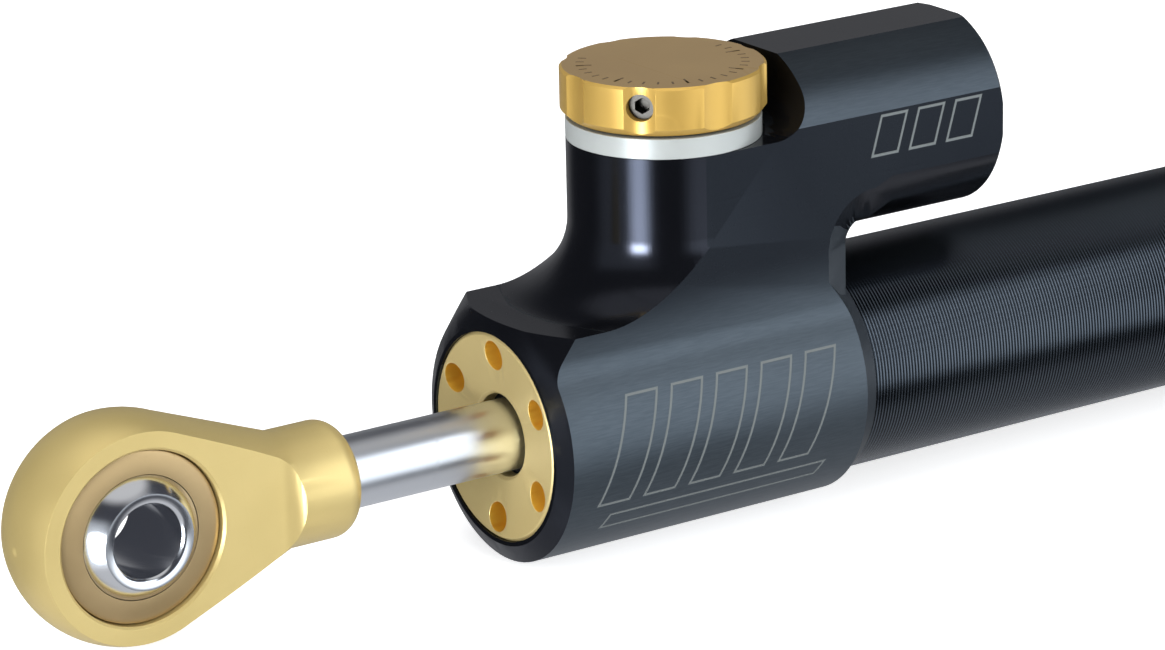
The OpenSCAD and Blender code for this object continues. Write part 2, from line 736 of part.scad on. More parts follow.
module adjuster_cartridge() color("darkkhaki") difference() {
    translate([spindle_x, 0, 0]) rotate_extrude() difference() {
        translate([0, cartridge_z]) square([valve_r, cartridge_h]);
        translate([valve_r - cartridge_groove, cartridge_ring_z - cartridge_groove_w / 2])
            square([2, cartridge_groove_w]);
        translate([valve_r, cartridge_z]) rotate(45) square(0.8, center = true);
        translate([spindle_r, spindle_ring_z - spindle_groove_w / 2]) square([spindle_groove, spindle_groove_w]);
    }
    upright(spindle_r + run_gap, spindle_x, 0, through);
    intersection() {
        upright(chamber_r, spindle_x, cartridge_z - 1, chamber_top_z);
        translate([spindle_x - through / 2, -key_half, 0]) cube([through, 2 * key_half, through]);
    }
}

module cartridge_o_ring() color("dimgray") translate([spindle_x, 0, cartridge_ring_z]) rotate_extrude()
    ring_section(valve_r - cartridge_groove, valve_r + seat_gap);

module spindle_o_ring() color("dimgray") translate([spindle_x, 0, spindle_ring_z]) rotate_extrude()
    ring_section(spindle_r + run_gap, spindle_r + spindle_groove);

module adjuster_spindle() color("silver") difference() {
    translate([spindle_x, 0, 0]) rotate_extrude() polygon([[0, flange_z - stud_len], [stud_r - 0.3,
        flange_z - stud_len], [stud_r, flange_z - stud_len + 0.3], [stud_r, flange_z], [flange_r, flange_z],
        [flange_r, flange_z + flange_h], [spindle_r, flange_z + flange_h], [spindle_r, spindle_top_z - 0.4],
        [spindle_r - 0.4, spindle_top_z], [0, spindle_top_z]]);
    at_grub() translate([spindle_r - grub_flat, -through / 2, -1.8]) cube(through);
}

// Puts a piece at the grub screw, with x pointing out of the knob
module at_grub() translate([spindle_x, 0, grub_z]) rotate([0, 0, grub_angle]) children();

// The stop slot under the knob, open over the knob's whole turn
module stop_slot() {
    ends = knob_turn + 2 * asin((stop_pin_r + 0.1) / stop_reach);
    translate([spindle_x, 0, knob_z - 1]) rotate([0, 0, -ends / 2]) rotate_extrude(angle = ends)
        translate([stop_reach - stop_pin_r - 0.2, 0]) square([2 * stop_pin_r + 0.4, stop_slot_h + 1]);
}

module adjuster_knob() color("goldenrod") difference() {
    translate([spindle_x, 0, 0]) difference() {
        rotate_extrude() polygon([[0, knob_z], [knob_r - knob_foot_chamfer, knob_z],
            [knob_r, knob_z + knob_foot_chamfer], [knob_r, knob_top_z - knob_top_chamfer],
            [knob_r - knob_top_chamfer, knob_top_z], [0, knob_top_z]]);
        for (i = [0:flutes - 1]) rotate([0, 0, grub_angle + i * 360 / flutes])
            translate([knob_r + flute_r - flute_depth, 0, knob_z - 1]) cylinder(r = flute_r, h = knob_h + 2);
    }
    upright(spindle_r + seat_gap, spindle_x, knob_z - 1, spindle_top_z + 0.1);
    at_grub() rotate([0, 90, 0]) cylinder(r = grub_d / 2 + seat_gap, h = knob_r + 2);
    translate([spindle_x, 0, knob_z - 1]) rotate([0, 0, grub_angle + 180]) translate([detent_reach, 0, 0])
        cylinder(r = detent_r + 0.1, h = detent_hole_h + 1);
    stop_slot();
}

module knob_grub_screw() color("darkslategray") at_grub() difference() {
    translate([spindle_r - grub_flat + seat_gap, 0, 0]) rotate([0, 90, 0]) cylinder(r = grub_d / 2, h = grub_len);
    translate([spindle_r - grub_flat + grub_len - grub_hex, 0, 0]) rotate([0, 90, 0])
        cylinder(r = grub_hex / sqrt(3), h = 2 * grub_hex, $fn = 6);
}

module detent_ball() color("gainsboro") translate([spindle_x, 0, detent_z]) rotate([0, 0, grub_angle + 180])
    translate([detent_reach, 0, 0]) sphere(r = detent_r);

module detent_spring() color("slategray") translate([spindle_x, 0, 0]) rotate([0, 0, grub_angle + 180])
    translate([detent_reach, 0, detent_z + detent_r + 0.05])
        coil(detent_r - 0.3, 0.15, 2, knob_z + detent_hole_h - detent_z - detent_r - 0.1);

module metering_needle() color("silver") translate([spindle_x, 0, 0]) difference() {
    intersection() {
        rotate_extrude() polygon([[0, tip_z], [0.5, tip_z], [1.35, needle_z - 0.2], [1.35, needle_z],
            [needle_r, needle_z], [needle_r, needle_top_z], [0, needle_top_z]]);
        translate([-through / 2, -needle_half, 0]) cube([through, 2 * needle_half, through]);
    }
    translate([0, 0, needle_z + needle_floor]) cylinder(r = stud_r + run_gap, h = through);
}

// Reservoir

module floating_piston() color("silver") translate([0, 0, stub_z]) difference() {
    turned(float_x) difference() {
        square([reservoir_r - run_gap, float_len]);
        translate([reservoir_r - float_groove, float_ring_x - float_groove_w / 2 - float_x])
            square([2, float_groove_w]);
        translate([0, float_len - 2]) square([reservoir_r - 3.4, 3]);
    }
}

module floating_piston_o_ring() color("dimgray") translate([0, 0, stub_z])
    o_ring(reservoir_r - float_groove, reservoir_r - run_gap, float_ring_x);

module reservoir_spring() color("slategray") translate([float_x + float_len, 0, stub_z]) rotate([0, 90, 0])
    coil(spring_mid_r, spring_wire / 2, spring_curls, spring_len);

module reservoir_cap() color([0.13, 0.14, 0.17]) translate([0, 0, stub_z]) turned(cap_x) difference() {
    square([reservoir_r - seat_gap, cap_t]);
    translate([reservoir_r - cap_groove, cap_ring_x - cap_groove_w / 2 - cap_x]) square([2, cap_groove_w]);
    translate([0, cap_t - 1]) square([3, 2]);
}

module reservoir_cap_o_ring() color("dimgray") translate([0, 0, stub_z])
    o_ring(reservoir_r - cap_groove, reservoir_r, cap_ring_x);

module reservoir_circlip() color("slategray") translate([0, 0, stub_z])
    circlip(reservoir_r - 1.6, reservoir_r + clip_groove - seat_gap, cap_x + cap_t + seat_gap, clip_t, 90);

rod_end();
bearing_race();
bearing_ball();
piston_rod();
piston();
piston_o_ring();
piston_circlips();
piston_guide_ring();
front_gland();
rear_gland();
front_wiper();
rear_wiper();
front_rod_seal();
rear_rod_seal();
front_rod_bush();
rear_rod_bush();
front_gland_o_ring();
rear_gland_o_ring();
valve_housing();
damper_tube();
inner_cylinder();
tube_o_ring();
cylinder_o_ring();
click_ring();
stop_pin();
adjuster_cartridge();
cartridge_o_ring();
adjuster_spindle();
spindle_o_ring();
adjuster_knob();
knob_grub_screw();
detent_ball();
detent_spring();
metering_needle();
floating_piston();
floating_piston_o_ring();
reservoir_spring();
reservoir_cap();
reservoir_cap_o_ring();
reservoir_circlip();
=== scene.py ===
import json
import math

import bmesh
import bpy
from mathutils import Matrix, Vector


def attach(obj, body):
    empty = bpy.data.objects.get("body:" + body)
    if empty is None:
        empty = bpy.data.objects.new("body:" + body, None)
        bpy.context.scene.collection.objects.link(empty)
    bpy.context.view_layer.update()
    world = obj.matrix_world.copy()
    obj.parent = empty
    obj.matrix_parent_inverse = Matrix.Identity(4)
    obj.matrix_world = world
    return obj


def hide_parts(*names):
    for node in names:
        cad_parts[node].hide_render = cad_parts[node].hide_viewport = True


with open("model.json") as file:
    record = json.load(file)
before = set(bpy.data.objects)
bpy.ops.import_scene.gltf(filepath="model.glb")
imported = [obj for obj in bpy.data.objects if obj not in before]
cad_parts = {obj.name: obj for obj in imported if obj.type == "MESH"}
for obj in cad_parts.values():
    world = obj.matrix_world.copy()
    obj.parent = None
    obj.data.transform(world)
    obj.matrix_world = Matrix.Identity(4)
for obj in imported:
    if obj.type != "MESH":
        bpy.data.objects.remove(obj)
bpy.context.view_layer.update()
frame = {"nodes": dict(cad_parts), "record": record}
MM = 0.001
NODES = frame["nodes"]

# Places and sizes in millimetres, as in the solids
SPINDLE_X = 69.4
BARREL_R = 14.2
BARREL_END_X = 88.7
TUBE_R = 12.7
TUBE_IN_R = 11.1
THREAD_R = 12.4
TUBE_FRONT_X = 76.0
TUBE_END_X = 162.2
TUBE_RING_X = 78.5
RING_DEPTH = 0.8
RING_HALF_W = 0.75
FRONT_X = 46.2
FRONT_HOLES_R = 9.3
REAR_HOLES_R = 8.68
HOLE_REACH = 1.72
HOLE_CHAMFER = 0.45
SOCKET_X = 22.3
SOCKET_DEPTH = 9.5
ROD_R = 4.0
ROD_THREAD_R = 3.0
ROD_END_X = 224.2
PISTON_X = 125.7
CLIP_X = 5.5
CLIP_R = 3.4
CLIP_HALF_W = 0.52
BALL_R = 7.95
BALL_HALF_W = 6.0
BORE_R = 4.0
RACE_R = 9.5
RACE_HALF_W = 4.2
WEB_R = 10.75
STUB_Z = 27.5
STUB_R = 11.4
KNOB_TOP_Z = 38.4

# Sizes in millimetres that only the visual model has: the tube's ridges, the marks on the knob, whose top is
# lowered by MARK_H for them, and the root of the rod's thread
RIDGE_H = 0.05
RIDGE_R = 0.28
RIDGE_PITCH = 0.42
MARK_H = 0.03
MARK_W = 0.22
MARK_OUT = 9.5
ROOT_R = 2.7

# The middle of the knob's scale, in degrees from -Y
MARK_MIDDLE = -18.0

# Face values that say how the housing is finished: turned, or brushed after milling
TURNED = 0.0
REAR_EDGE = 0.5
STUB_SIDE = 0.75
FLANK = 1.0

# How far a face of the rear bevel turns to the rear, or down to the notch, at least
LEAST_LEAN = 0.12

# Where the finishes part, in millimetres
REAR_BAND_X = 79.0
REAR_BAND_TOP = 24.0
REAR_EDGE_TOP = 19.0
SHELF_Z = 14.0
ROUND_TOP_Z = 12.0
# Heights of the painted sheen on the flanks, in millimetres: darkest at the first, lightest at the second
FLANK_DARK_Z = 17.5
FLANK_LIGHT_Z = 7.5

# The photograph's camera: azimuth, elevation and roll in degrees, place in metres, focal length in pixels
CAMERA_ANGLES = (-33.721, 17.895, -1.297)
CAMERA_PLACE = (-0.223830, -0.422454, 0.174449)
FOCAL_PIXELS = 4872.348
PHOTO_PIXELS = 1165
SENSOR_W = 36


# Node trees

def node(tree, kind, **values):
    made = tree.nodes.new(kind)
    for key, value in values.items():
        setattr(made, key, value)
    return made


def math_node(tree, operation, first, second=None, third=None, clamp=False):
    made = node(tree, "ShaderNodeMath", operation=operation, use_clamp=clamp)
    for index, value in enumerate((first, second, third)):
        if value is None:
            continue
        if isinstance(value, (int, float)):
            made.inputs[index].default_value = value
        else:
            tree.links.new(value, made.inputs[index])
    return made.outputs[0]


def new_group(name, inputs, outputs):
    tree = bpy.data.node_groups.new(name, "ShaderNodeTree")
    for title, kind, value in inputs:
        socket = tree.interface.new_socket(title, in_out="INPUT", socket_type=kind)
        if value is not None:
            socket.default_value = value
    for title, kind in outputs:
        tree.interface.new_socket(title, in_out="OUTPUT", socket_type=kind)
    return tree, tree.nodes.new("NodeGroupInput"), tree.nodes.new("NodeGroupOutput")


VECTOR, FLOAT = "NodeSocketVector", "NodeSocketFloat"


def noise(tree, vector, scale, detail, rough):
    made = node(tree, "ShaderNodeTexNoise")
    made.inputs["Scale"].default_value = scale
    made.inputs["Detail"].default_value = detail
    made.inputs["Roughness"].default_value = rough
    tree.links.new(vector, made.inputs["Vector"])
    return made.outputs[0]


def stretched(tree, vector, scales):
    made = node(tree, "ShaderNodeVectorMath", operation="MULTIPLY")
    made.inputs[1].default_value = scales
    tree.links.new(vector, made.inputs[0])
    return made.outputs[0]


def shift_range(tree, value, low, high, out_low, out_high):
    made = node(tree, "ShaderNodeMapRange")
    made.inputs["From Min"].default_value = low
    made.inputs["From Max"].default_value = high
    made.inputs["To Min"].default_value = out_low
    made.inputs["To Max"].default_value = out_high
    tree.links.new(value, made.inputs["Value"])
    return made.outputs[0]


def grain_group():
    """Fine tool marks: noise drawn out along one axis, and slow patches that change the sheen."""
    tree, start, end = new_group("tool grain", [("Vector", VECTOR, None), ("Lines", VECTOR, (1, 1, 1)),
        ("Patches", FLOAT, 60.0)], [("Height", FLOAT), ("Patch", FLOAT), ("Speck", FLOAT)])
    scaled = node(tree, "ShaderNodeVectorMath", operation="MULTIPLY")
    tree.links.new(start.outputs["Vector"], scaled.inputs[0])
    tree.links.new(start.outputs["Lines"], scaled.inputs[1])
    lines = noise(tree, scaled.outputs[0], 1.0, 2.0, 0.6)
    slow = node(tree, "ShaderNodeTexNoise")
    slow.inputs["Detail"].default_value = 4.0
    tree.links.new(start.outputs["Vector"], slow.inputs["Vector"])
    tree.links.new(start.outputs["Patches"], slow.inputs["Scale"])
    specks = noise(tree, start.outputs["Vector"], 2600.0, 1.0, 0.5)
    tree.links.new(lines, end.inputs["Height"])
    tree.links.new(slow.outputs[0], end.inputs["Patch"])
    tree.links.new(shift_range(tree, specks, 0.68, 0.8, 0.0, 1.0), end.inputs["Speck"])
    return tree


def scratch_group():
    """Hairline scratches: thin bands where two slow waves of noise cross their middle value."""
    tree, start, end = new_group("hairlines", [("Vector", VECTOR, None), ("Scale", FLOAT, 40.0)],
        [("Scratch", FLOAT)])
    found = []
    for turn in ((1, 0.12, 0.2), (0.15, 0.9, 1)):
        drawn = stretched(tree, start.outputs["Vector"], turn)
        wave = node(tree, "ShaderNodeTexNoise")
        wave.inputs["Detail"].default_value = 2.0
        tree.links.new(drawn, wave.inputs["Vector"])
        tree.links.new(start.outputs["Scale"], wave.inputs["Scale"])
        away = math_node(tree, "ABSOLUTE", math_node(tree, "SUBTRACT", wave.outputs[0], 0.5))
        found.append(shift_range(tree, away, 0.0, 0.004, 1.0, 0.0))
    gaps = noise(tree, start.outputs["Vector"], 90.0, 2.0, 0.5)
    both = math_node(tree, "MAXIMUM", found[0], found[1])
    kept = math_node(tree, "MULTIPLY", both, shift_range(tree, gaps, 0.5, 0.6, 0.0, 1.0))
    tree.links.new(kept, end.inputs["Scratch"])
    return tree


GRAIN = grain_group()
HAIR = scratch_group()


def use_group(tree, group, **values):
    made = tree.nodes.new("ShaderNodeGroup")
    made.node_tree = group
    for key, value in values.items():
        socket = made.inputs[key]
        if hasattr(value, "links"):
            tree.links.new(value, socket)
        else:
            socket.default_value = value
    return made


def mix_colour(tree, factor, first, second):
    made = node(tree, "ShaderNodeMix", data_type="RGBA")
    for socket, value in ((made.inputs[0], factor), (made.inputs[6], first), (made.inputs[7], second)):
        if hasattr(value, "links"):
            tree.links.new(value, socket)
        else:
            socket.default_value = value
    return made.outputs[2]


def rgb(red, green, blue):
    return (red, green, blue, 1.0)


def new_material(name):
    made = bpy.data.materials.new(name)
    made.use_nodes = True
    tree = made.node_tree
    shader = tree.nodes["Principled BSDF"]
    place = tree.nodes.new("ShaderNodeTexCoord").outputs["Object"]
    return made, tree, shader, place


def raise_surface(tree, shader, height, depth):
    """Bumps a surface by a height between 0 and 1. Depth is in millimetres."""
    raised = node(tree, "ShaderNodeBump")
    raised.inputs["Strength"].default_value = 1.0
    raised.inputs["Distance"].default_value = depth * MM
    tree.links.new(height, raised.inputs["Height"])
    tree.links.new(raised.outputs[0], shader.inputs["Normal"])


def finish_material(name, low, high, metallic, rough, spread, lines, bump, hair=0.3, specks=0.15):
    """A machined, plated or moulded finish of two near colours. Lines is the grain's scale on each axis."""
    made, tree, shader, place = new_material(name)
    grain = use_group(tree, GRAIN, Vector=place, Lines=lines, Patches=60.0)
    scratch = use_group(tree, HAIR, Vector=place, Scale=55.0).outputs["Scratch"]
    patch = grain.outputs["Patch"]
    colour = mix_colour(tree, shift_range(tree, patch, 0.3, 0.7, 0.0, 1.0), rgb(*low), rgb(*high))
    tree.links.new(colour, shader.inputs["Base Color"])
    sheen = shift_range(tree, patch, 0.3, 0.7, rough - spread, rough + spread)
    sheen = math_node(tree, "ADD", sheen, math_node(tree, "MULTIPLY", grain.outputs["Speck"], specks))
    sheen = math_node(tree, "ADD", sheen, math_node(tree, "MULTIPLY", scratch, hair * 0.3), clamp=True)
    tree.links.new(sheen, shader.inputs["Roughness"])
    shader.inputs["Metallic"].default_value = metallic
    height = math_node(tree, "SUBTRACT", grain.outputs["Height"], math_node(tree, "MULTIPLY", scratch, hair))
    raise_surface(tree, shader, height, bump)
    return made


FINE = 9000.0

# Slot, name, darker and lighter colour, then metallic, roughness and its spread, the grain along each axis,
# the bump in millimetres and, where they aren't the usual ones, the depth of hairlines and of specks
FINISHES = [
    ("gold_satin", "gold satin", (0.65, 0.50, 0.195), (0.73, 0.57, 0.235),
        0.55, 0.38, 0.04, (2500, 2500, 2500), 0.004),
    ("bronze", "bronze", (0.40, 0.28, 0.13), (0.54, 0.39, 0.20),
        0.75, 0.36, 0.07, (900, FINE, 900), 0.006),
    ("bright_chrome", "bright chrome", (0.78, 0.79, 0.81), (0.85, 0.86, 0.88),
        1.0, 0.15, 0.03, (2000, 2000, 2000), 0.0005, 0.15, 0.05),
    ("hard_chrome", "hard chrome", (0.72, 0.74, 0.77), (0.78, 0.80, 0.83),
        1.0, 0.32, 0.03, (FINE, 900, 900), 0.0012, 0.2, 0.05),
    ("bare_aluminium", "bare aluminium", (0.62, 0.63, 0.65), (0.72, 0.73, 0.74),
        0.9, 0.35, 0.06, (FINE, 700, 700), 0.004),
    ("clear_anodised", "clear anodised", (0.42, 0.445, 0.43), (0.485, 0.51, 0.495),
        0.25, 0.35, 0.05, (700, 700, FINE), 0.006),
    ("black_gloss", "black gloss", (0.035, 0.037, 0.045), (0.045, 0.048, 0.058),
        0.85, 0.16, 0.03, (1500, 1500, FINE), 0.002),
    ("rubber", "black rubber", (0.015, 0.015, 0.016), (0.025, 0.025, 0.027),
        0.0, 0.7, 0.08, (2500, 2500, 2500), 0.01),
    ("ivory_plastic", "ivory plastic", (0.70, 0.68, 0.58), (0.78, 0.76, 0.67),
        0.0, 0.5, 0.06, (2000, 2000, 2000), 0.006),
    ("steel", "ground steel", (0.45, 0.46, 0.48), (0.55, 0.56, 0.58),
        1.0, 0.28, 0.06, (900, 900, FINE), 0.003),
    ("screw_steel", "screw steel", (0.035, 0.032, 0.028), (0.06, 0.054, 0.046),
        1.0, 0.3, 0.05, (3000, 3000, 3000), 0.003),
    ("spring_steel", "spring steel", (0.30, 0.31, 0.33), (0.38, 0.39, 0.41),
        1.0, 0.3, 0.06, (3000, 3000, 3000), 0.004),
    ("dark_mark", "dark mark", (0.13, 0.09, 0.05), (0.17, 0.12, 0.07),
        0.3, 0.5, 0.05, (4000, 4000, 4000), 0.003),
]
MATERIALS = {row[0]: finish_material(*row[1:]) for row in FINISHES}


def two_tone_material(name, attribute, main, other, metallic, rough, lines):
    """Like a finish, with a second pair of colours where the named face value is 1."""
    made, tree, shader, place = new_material(name)
    where = node(tree, "ShaderNodeAttribute", attribute_name=attribute).outputs["Fac"]
    grain = use_group(tree, GRAIN, Vector=place, Lines=lines, Patches=60.0)
    scratch = use_group(tree, HAIR, Vector=place, Scale=55.0).outputs["Scratch"]
    patch = shift_range(tree, grain.outputs["Patch"], 0.3, 0.7, 0.0, 1.0)
    first = mix_colour(tree, patch, rgb(*main[0]), rgb(*main[1]))
    second = mix_colour(tree, patch, rgb(*other[0]), rgb(*other[1]))
    tree.links.new(mix_colour(tree, where, first, second), shader.inputs["Base Color"])
    sheen = math_node(tree, "ADD", shift_range(tree, patch, 0.0, 1.0, rough - 0.035, rough + 0.035),
        math_node(tree, "MULTIPLY", scratch, 0.1))
    tree.links.new(sheen, shader.inputs["Roughness"])
    shader.inputs["Metallic"].default_value = metallic
    height = math_node(tree, "SUBTRACT", grain.outputs["Height"], math_node(tree, "MULTIPLY", scratch, 0.3))
    raise_surface(tree, shader, height, 0.003)
    return made


MATERIALS["gold_knob"] = two_tone_material("bright gold", "top", ((0.70, 0.43, 0.095), (0.77, 0.50, 0.13)),
    ((0.52, 0.34, 0.145), (0.60, 0.41, 0.185)), 0.6, 0.33, (700, 700, FINE))
# Painted shade in the glands' wrench holes: a deeper, darker gold on the faces inside a hole
MATERIALS["gold_anodised"] = two_tone_material("gold anodised", "hole",
    ((0.70, 0.54, 0.23), (0.77, 0.61, 0.275)), ((0.66, 0.36, 0.03), (0.74, 0.43, 0.05)), 0.5, 0.38,
    (700, 3500, 3500))


def tube_material():
    """Black anodising over fine turned grooves, with painted shade that keeps the grooves darker than the
    crests between them.
    """
    made, tree, shader, place = new_material("black tube")
    grain = use_group(tree, GRAIN, Vector=place, Lines=(FINE, 900, 900), Patches=60.0)
    scratch = use_group(tree, HAIR, Vector=place, Scale=55.0).outputs["Scratch"]
    patch = shift_range(tree, grain.outputs["Patch"], 0.3, 0.7, 0.0, 1.0)
    parts = node(tree, "ShaderNodeSeparateXYZ")
    tree.links.new(place, parts.inputs[0])
    along = math_node(tree, "SUBTRACT", parts.outputs[0], (BARREL_END_X + 0.5) * MM)
    beat = math_node(tree, "COSINE", math_node(tree, "MULTIPLY", along, 2 * math.pi / (RIDGE_PITCH * MM)))
    painted_groove_shade_fac = shift_range(tree, beat, -0.3, 0.7, 0.0, 1.0)
    # Painted shade in the grooves: near black there, and the anodising's own colour on the crests
    groove = mix_colour(tree, patch, rgb(0.003, 0.004, 0.006), rgb(0.005, 0.007, 0.009))
    high = mix_colour(tree, patch, rgb(0.085, 0.102, 0.122), rgb(0.100, 0.118, 0.140))
    tree.links.new(mix_colour(tree, painted_groove_shade_fac, groove, high), shader.inputs["Base Color"])
    sheen = math_node(tree, "ADD", shift_range(tree, patch, 0.0, 1.0, 0.17, 0.23),
        math_node(tree, "MULTIPLY", scratch, 0.03))
    tree.links.new(sheen, shader.inputs["Roughness"])
    shader.inputs["Metallic"].default_value = 0.9
    raise_surface(tree, shader, grain.outputs["Height"], 0.002)
    return made


MATERIALS["black_tube"] = tube_material()


def frame_group():
    """The outline of a slanted frame, from the distance to its edge."""
    tree, start, end = new_group("slanted frame", [("Across", FLOAT, 0.0), ("Up", FLOAT, 0.0),
        ("Left", FLOAT, 0.0), ("Low", FLOAT, 0.0), ("Half width", FLOAT, 1.0), ("Half height", FLOAT, 1.0),
        ("Slant", FLOAT, 0.3), ("Line", FLOAT, 0.15)], [("Mask", FLOAT)])
    up = math_node(tree, "SUBTRACT", start.outputs["Up"], start.outputs["Low"])
    across = math_node(tree, "SUBTRACT", start.outputs["Across"], start.outputs["Left"])
    across = math_node(tree, "SUBTRACT", across, math_node(tree, "MULTIPLY", up, start.outputs["Slant"]))
    side = math_node(tree, "SUBTRACT", math_node(tree, "ABSOLUTE", across), start.outputs["Half width"])
    rise = math_node(tree, "SUBTRACT", math_node(tree, "ABSOLUTE", up), start.outputs["Half height"])
    away = math_node(tree, "ABSOLUTE", math_node(tree, "MAXIMUM", side, rise))
    line = start.outputs["Line"]
    soft = math_node(tree, "MULTIPLY", line, 0.4)
    edge = math_node(tree, "DIVIDE", math_node(tree, "SUBTRACT", line, away), soft, clamp=True)
    tree.links.new(edge, end.inputs["Mask"])
    return tree


# Etched frames on the housing, in millimetres: across, up, half width, half height. On the barrel up is the
# length round it above the bar's middle.
BARREL_FRAMES = [(55.0, 0.6, 2.0, 6.0), (61.0, 0.6, 2.0, 6.0), (67.0, 0.6, 2.0, 6.0), (73.0, 0.6, 2.0, 6.0),
    (79.0, 0.6, 2.0, 6.0), (67.0, -8.2, 14.4, 1.0)]
STUB_FRAMES = [(92.3, 28.6, 1.75, 2.2), (97.5, 28.6, 1.75, 2.2), (102.7, 28.6, 1.75, 2.2)]
FRAME_LINE = 0.19


def etched_lines(tree, place):
    """A mask of plain slanted frames, five on the barrel and three on the stub, on the two flanks."""
    group = frame_group()
    parts = node(tree, "ShaderNodeSeparateXYZ")
    tree.links.new(stretched(tree, place, (1000, 1000, 1000)), parts.inputs[0])
    x, y, z = parts.outputs
    rise = math_node(tree, "ARCTAN2", z, math_node(tree, "ABSOLUTE", y))
    round_bar = math_node(tree, "MULTIPLY", rise, BARREL_R)
    total = None
    for frames, up, slant in ((BARREL_FRAMES, round_bar, 0.35), (STUB_FRAMES, z, 0.3)):
        for across, low, half, tall in frames:
            used = use_group(tree, group, Across=x, Up=up, Left=across, Low=low, Slant=slant,
                Line=FRAME_LINE, **{"Half width": half, "Half height": tall}).outputs["Mask"]
            total = used if total is None else math_node(tree, "MAXIMUM", total, used)
    return total


def housing_material():
    """Black anodising: glossy where it was turned and brushed along X where it was milled, as the face value
    named satin says. The flanks carry a painted sheen, darker near the web and lighter down to the barrel,
    and grow more brushed the same way."""
    made, tree, shader, place = new_material("black anodised")
    milled = node(tree, "ShaderNodeAttribute", attribute_name="satin").outputs["Fac"]
    parts = node(tree, "ShaderNodeSeparateXYZ")
    tree.links.new(place, parts.inputs[0])
    flank = math_node(tree, "GREATER_THAN", milled, FLANK - 0.2)
    # Painted sheen: a ramp by height that makes the flanks darker near the web and lighter near the barrel
    down = node(tree, "ShaderNodeMapRange", interpolation_type="SMOOTHSTEP")
    tree.links.new(parts.outputs[2], down.inputs["Value"])
    for title, value in (("From Min", FLANK_DARK_Z * MM), ("From Max", FLANK_LIGHT_Z * MM), ("To Min", 0.3),
            ("To Max", 1.0)):
        down.inputs[title].default_value = value
    stub = math_node(tree, "MULTIPLY", math_node(tree, "SUBTRACT", 1.0, flank), milled)
    # This level is the finish of the stub and rear edge and, on the flanks, the painted sheen's height ramp
    satin = math_node(tree, "ADD", stub, math_node(tree, "MULTIPLY", flank, down.outputs[0]))
    etched = math_node(tree, "GREATER_THAN", milled, REAR_EDGE - 0.2)
    marks = math_node(tree, "MULTIPLY", etched_lines(tree, place), etched)
    brush = use_group(tree, GRAIN, Vector=place, Lines=(450, 5200, 5200), Patches=35.0)
    turning = use_group(tree, GRAIN, Vector=place, Lines=(2600, 2600, 90), Patches=50.0)
    scratch = use_group(tree, HAIR, Vector=place, Scale=45.0).outputs["Scratch"]
    patch = shift_range(tree, brush.outputs["Patch"], 0.3, 0.7, 0.0, 1.0)
    gloss = mix_colour(tree, patch, rgb(0.023, 0.025, 0.032), rgb(0.029, 0.031, 0.039))
    plain = mix_colour(tree, patch, rgb(0.017, 0.020, 0.026), rgb(0.023, 0.027, 0.033))
    matt = mix_colour(tree, patch, rgb(0.072, 0.089, 0.104), rgb(0.088, 0.106, 0.122))
    streak = shift_range(tree, brush.outputs["Height"], 0.35, 0.65, 0.0, 0.35)
    matt = mix_colour(tree, streak, matt, rgb(0.12, 0.142, 0.162))
    # Painted sheen: the milled colour runs from the darker plain one to the lighter matt one as this level
    # rises
    milled_colour = mix_colour(tree, shift_range(tree, satin, 0.3, 1.0, 0.0, 1.0), plain, matt)
    colour = mix_colour(tree, math_node(tree, "GREATER_THAN", milled, TURNED + 0.1), gloss, milled_colour)
    tree.links.new(mix_colour(tree, marks, colour, rgb(0.17, 0.187, 0.185)), shader.inputs["Base Color"])
    rough = math_node(tree, "MULTIPLY_ADD", satin, 0.27, 0.17)
    rough = math_node(tree, "ADD", rough, shift_range(tree, brush.outputs["Patch"], 0.3, 0.7, -0.03, 0.04))
    rough = math_node(tree, "ADD", rough, math_node(tree, "MULTIPLY", brush.outputs["Speck"], 0.08))
    rough = math_node(tree, "ADD", rough, math_node(tree, "MULTIPLY", marks, 0.3))
    tree.links.new(rough, shader.inputs["Roughness"])
    edge = math_node(tree, "COMPARE", milled, REAR_EDGE, 0.05)
    dull = math_node(tree, "MULTIPLY", math_node(tree, "ADD", marks, edge), 0.6)
    metal = math_node(tree, "SUBTRACT", 0.9, dull)
    tree.links.new(metal, shader.inputs["Metallic"])
    height = node(tree, "ShaderNodeMix", data_type="FLOAT")
    tree.links.new(satin, height.inputs[0])
    tree.links.new(turning.outputs["Height"], height.inputs[2])
    tree.links.new(brush.outputs["Height"], height.inputs[3])
    cut = math_node(tree, "SUBTRACT", height.outputs[0], math_node(tree, "MULTIPLY", scratch, 0.3))
    cut = math_node(tree, "SUBTRACT", cut, math_node(tree, "MULTIPLY", marks, 4.0))
    raise_surface(tree, shader, cut, 0.004)
    return made


MATERIALS["black_anodised"] = housing_material()


# Meshes

def add_object(name, mesh):
    made = bpy.data.objects.new(name, mesh)
    bpy.context.scene.collection.objects.link(made)
    return made


def smooth(mesh, degrees=30):
    for face in mesh.polygons:
        face.use_smooth = True
    mesh.set_sharp_from_angle(angle=math.radians(degrees))


def body_of(name):
    bodies = frame["record"]["behaviour"]["bodies"]
    return next(body for body, nodes in bodies.items() if name in nodes)


def settle(piece, name, material):
    """Gives a piece its material, lets it ride on the body of a node, and hides the node."""
    piece.data.materials.clear()
    piece.data.materials.append(MATERIALS[material])
    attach(piece, body_of(name))
    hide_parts(name)


def soften(piece, width, segments=2, degrees=32):
    bevel = piece.modifiers.new("soft edges", "BEVEL")
    bevel.width = width * MM
    bevel.segments = segments
    bevel.limit_method = "ANGLE"
    bevel.angle_limit = math.radians(degrees)
    bevel.use_clamp_overlap = True
    bevel.harden_normals = True
    bevel.miter_outer = "MITER_ARC"


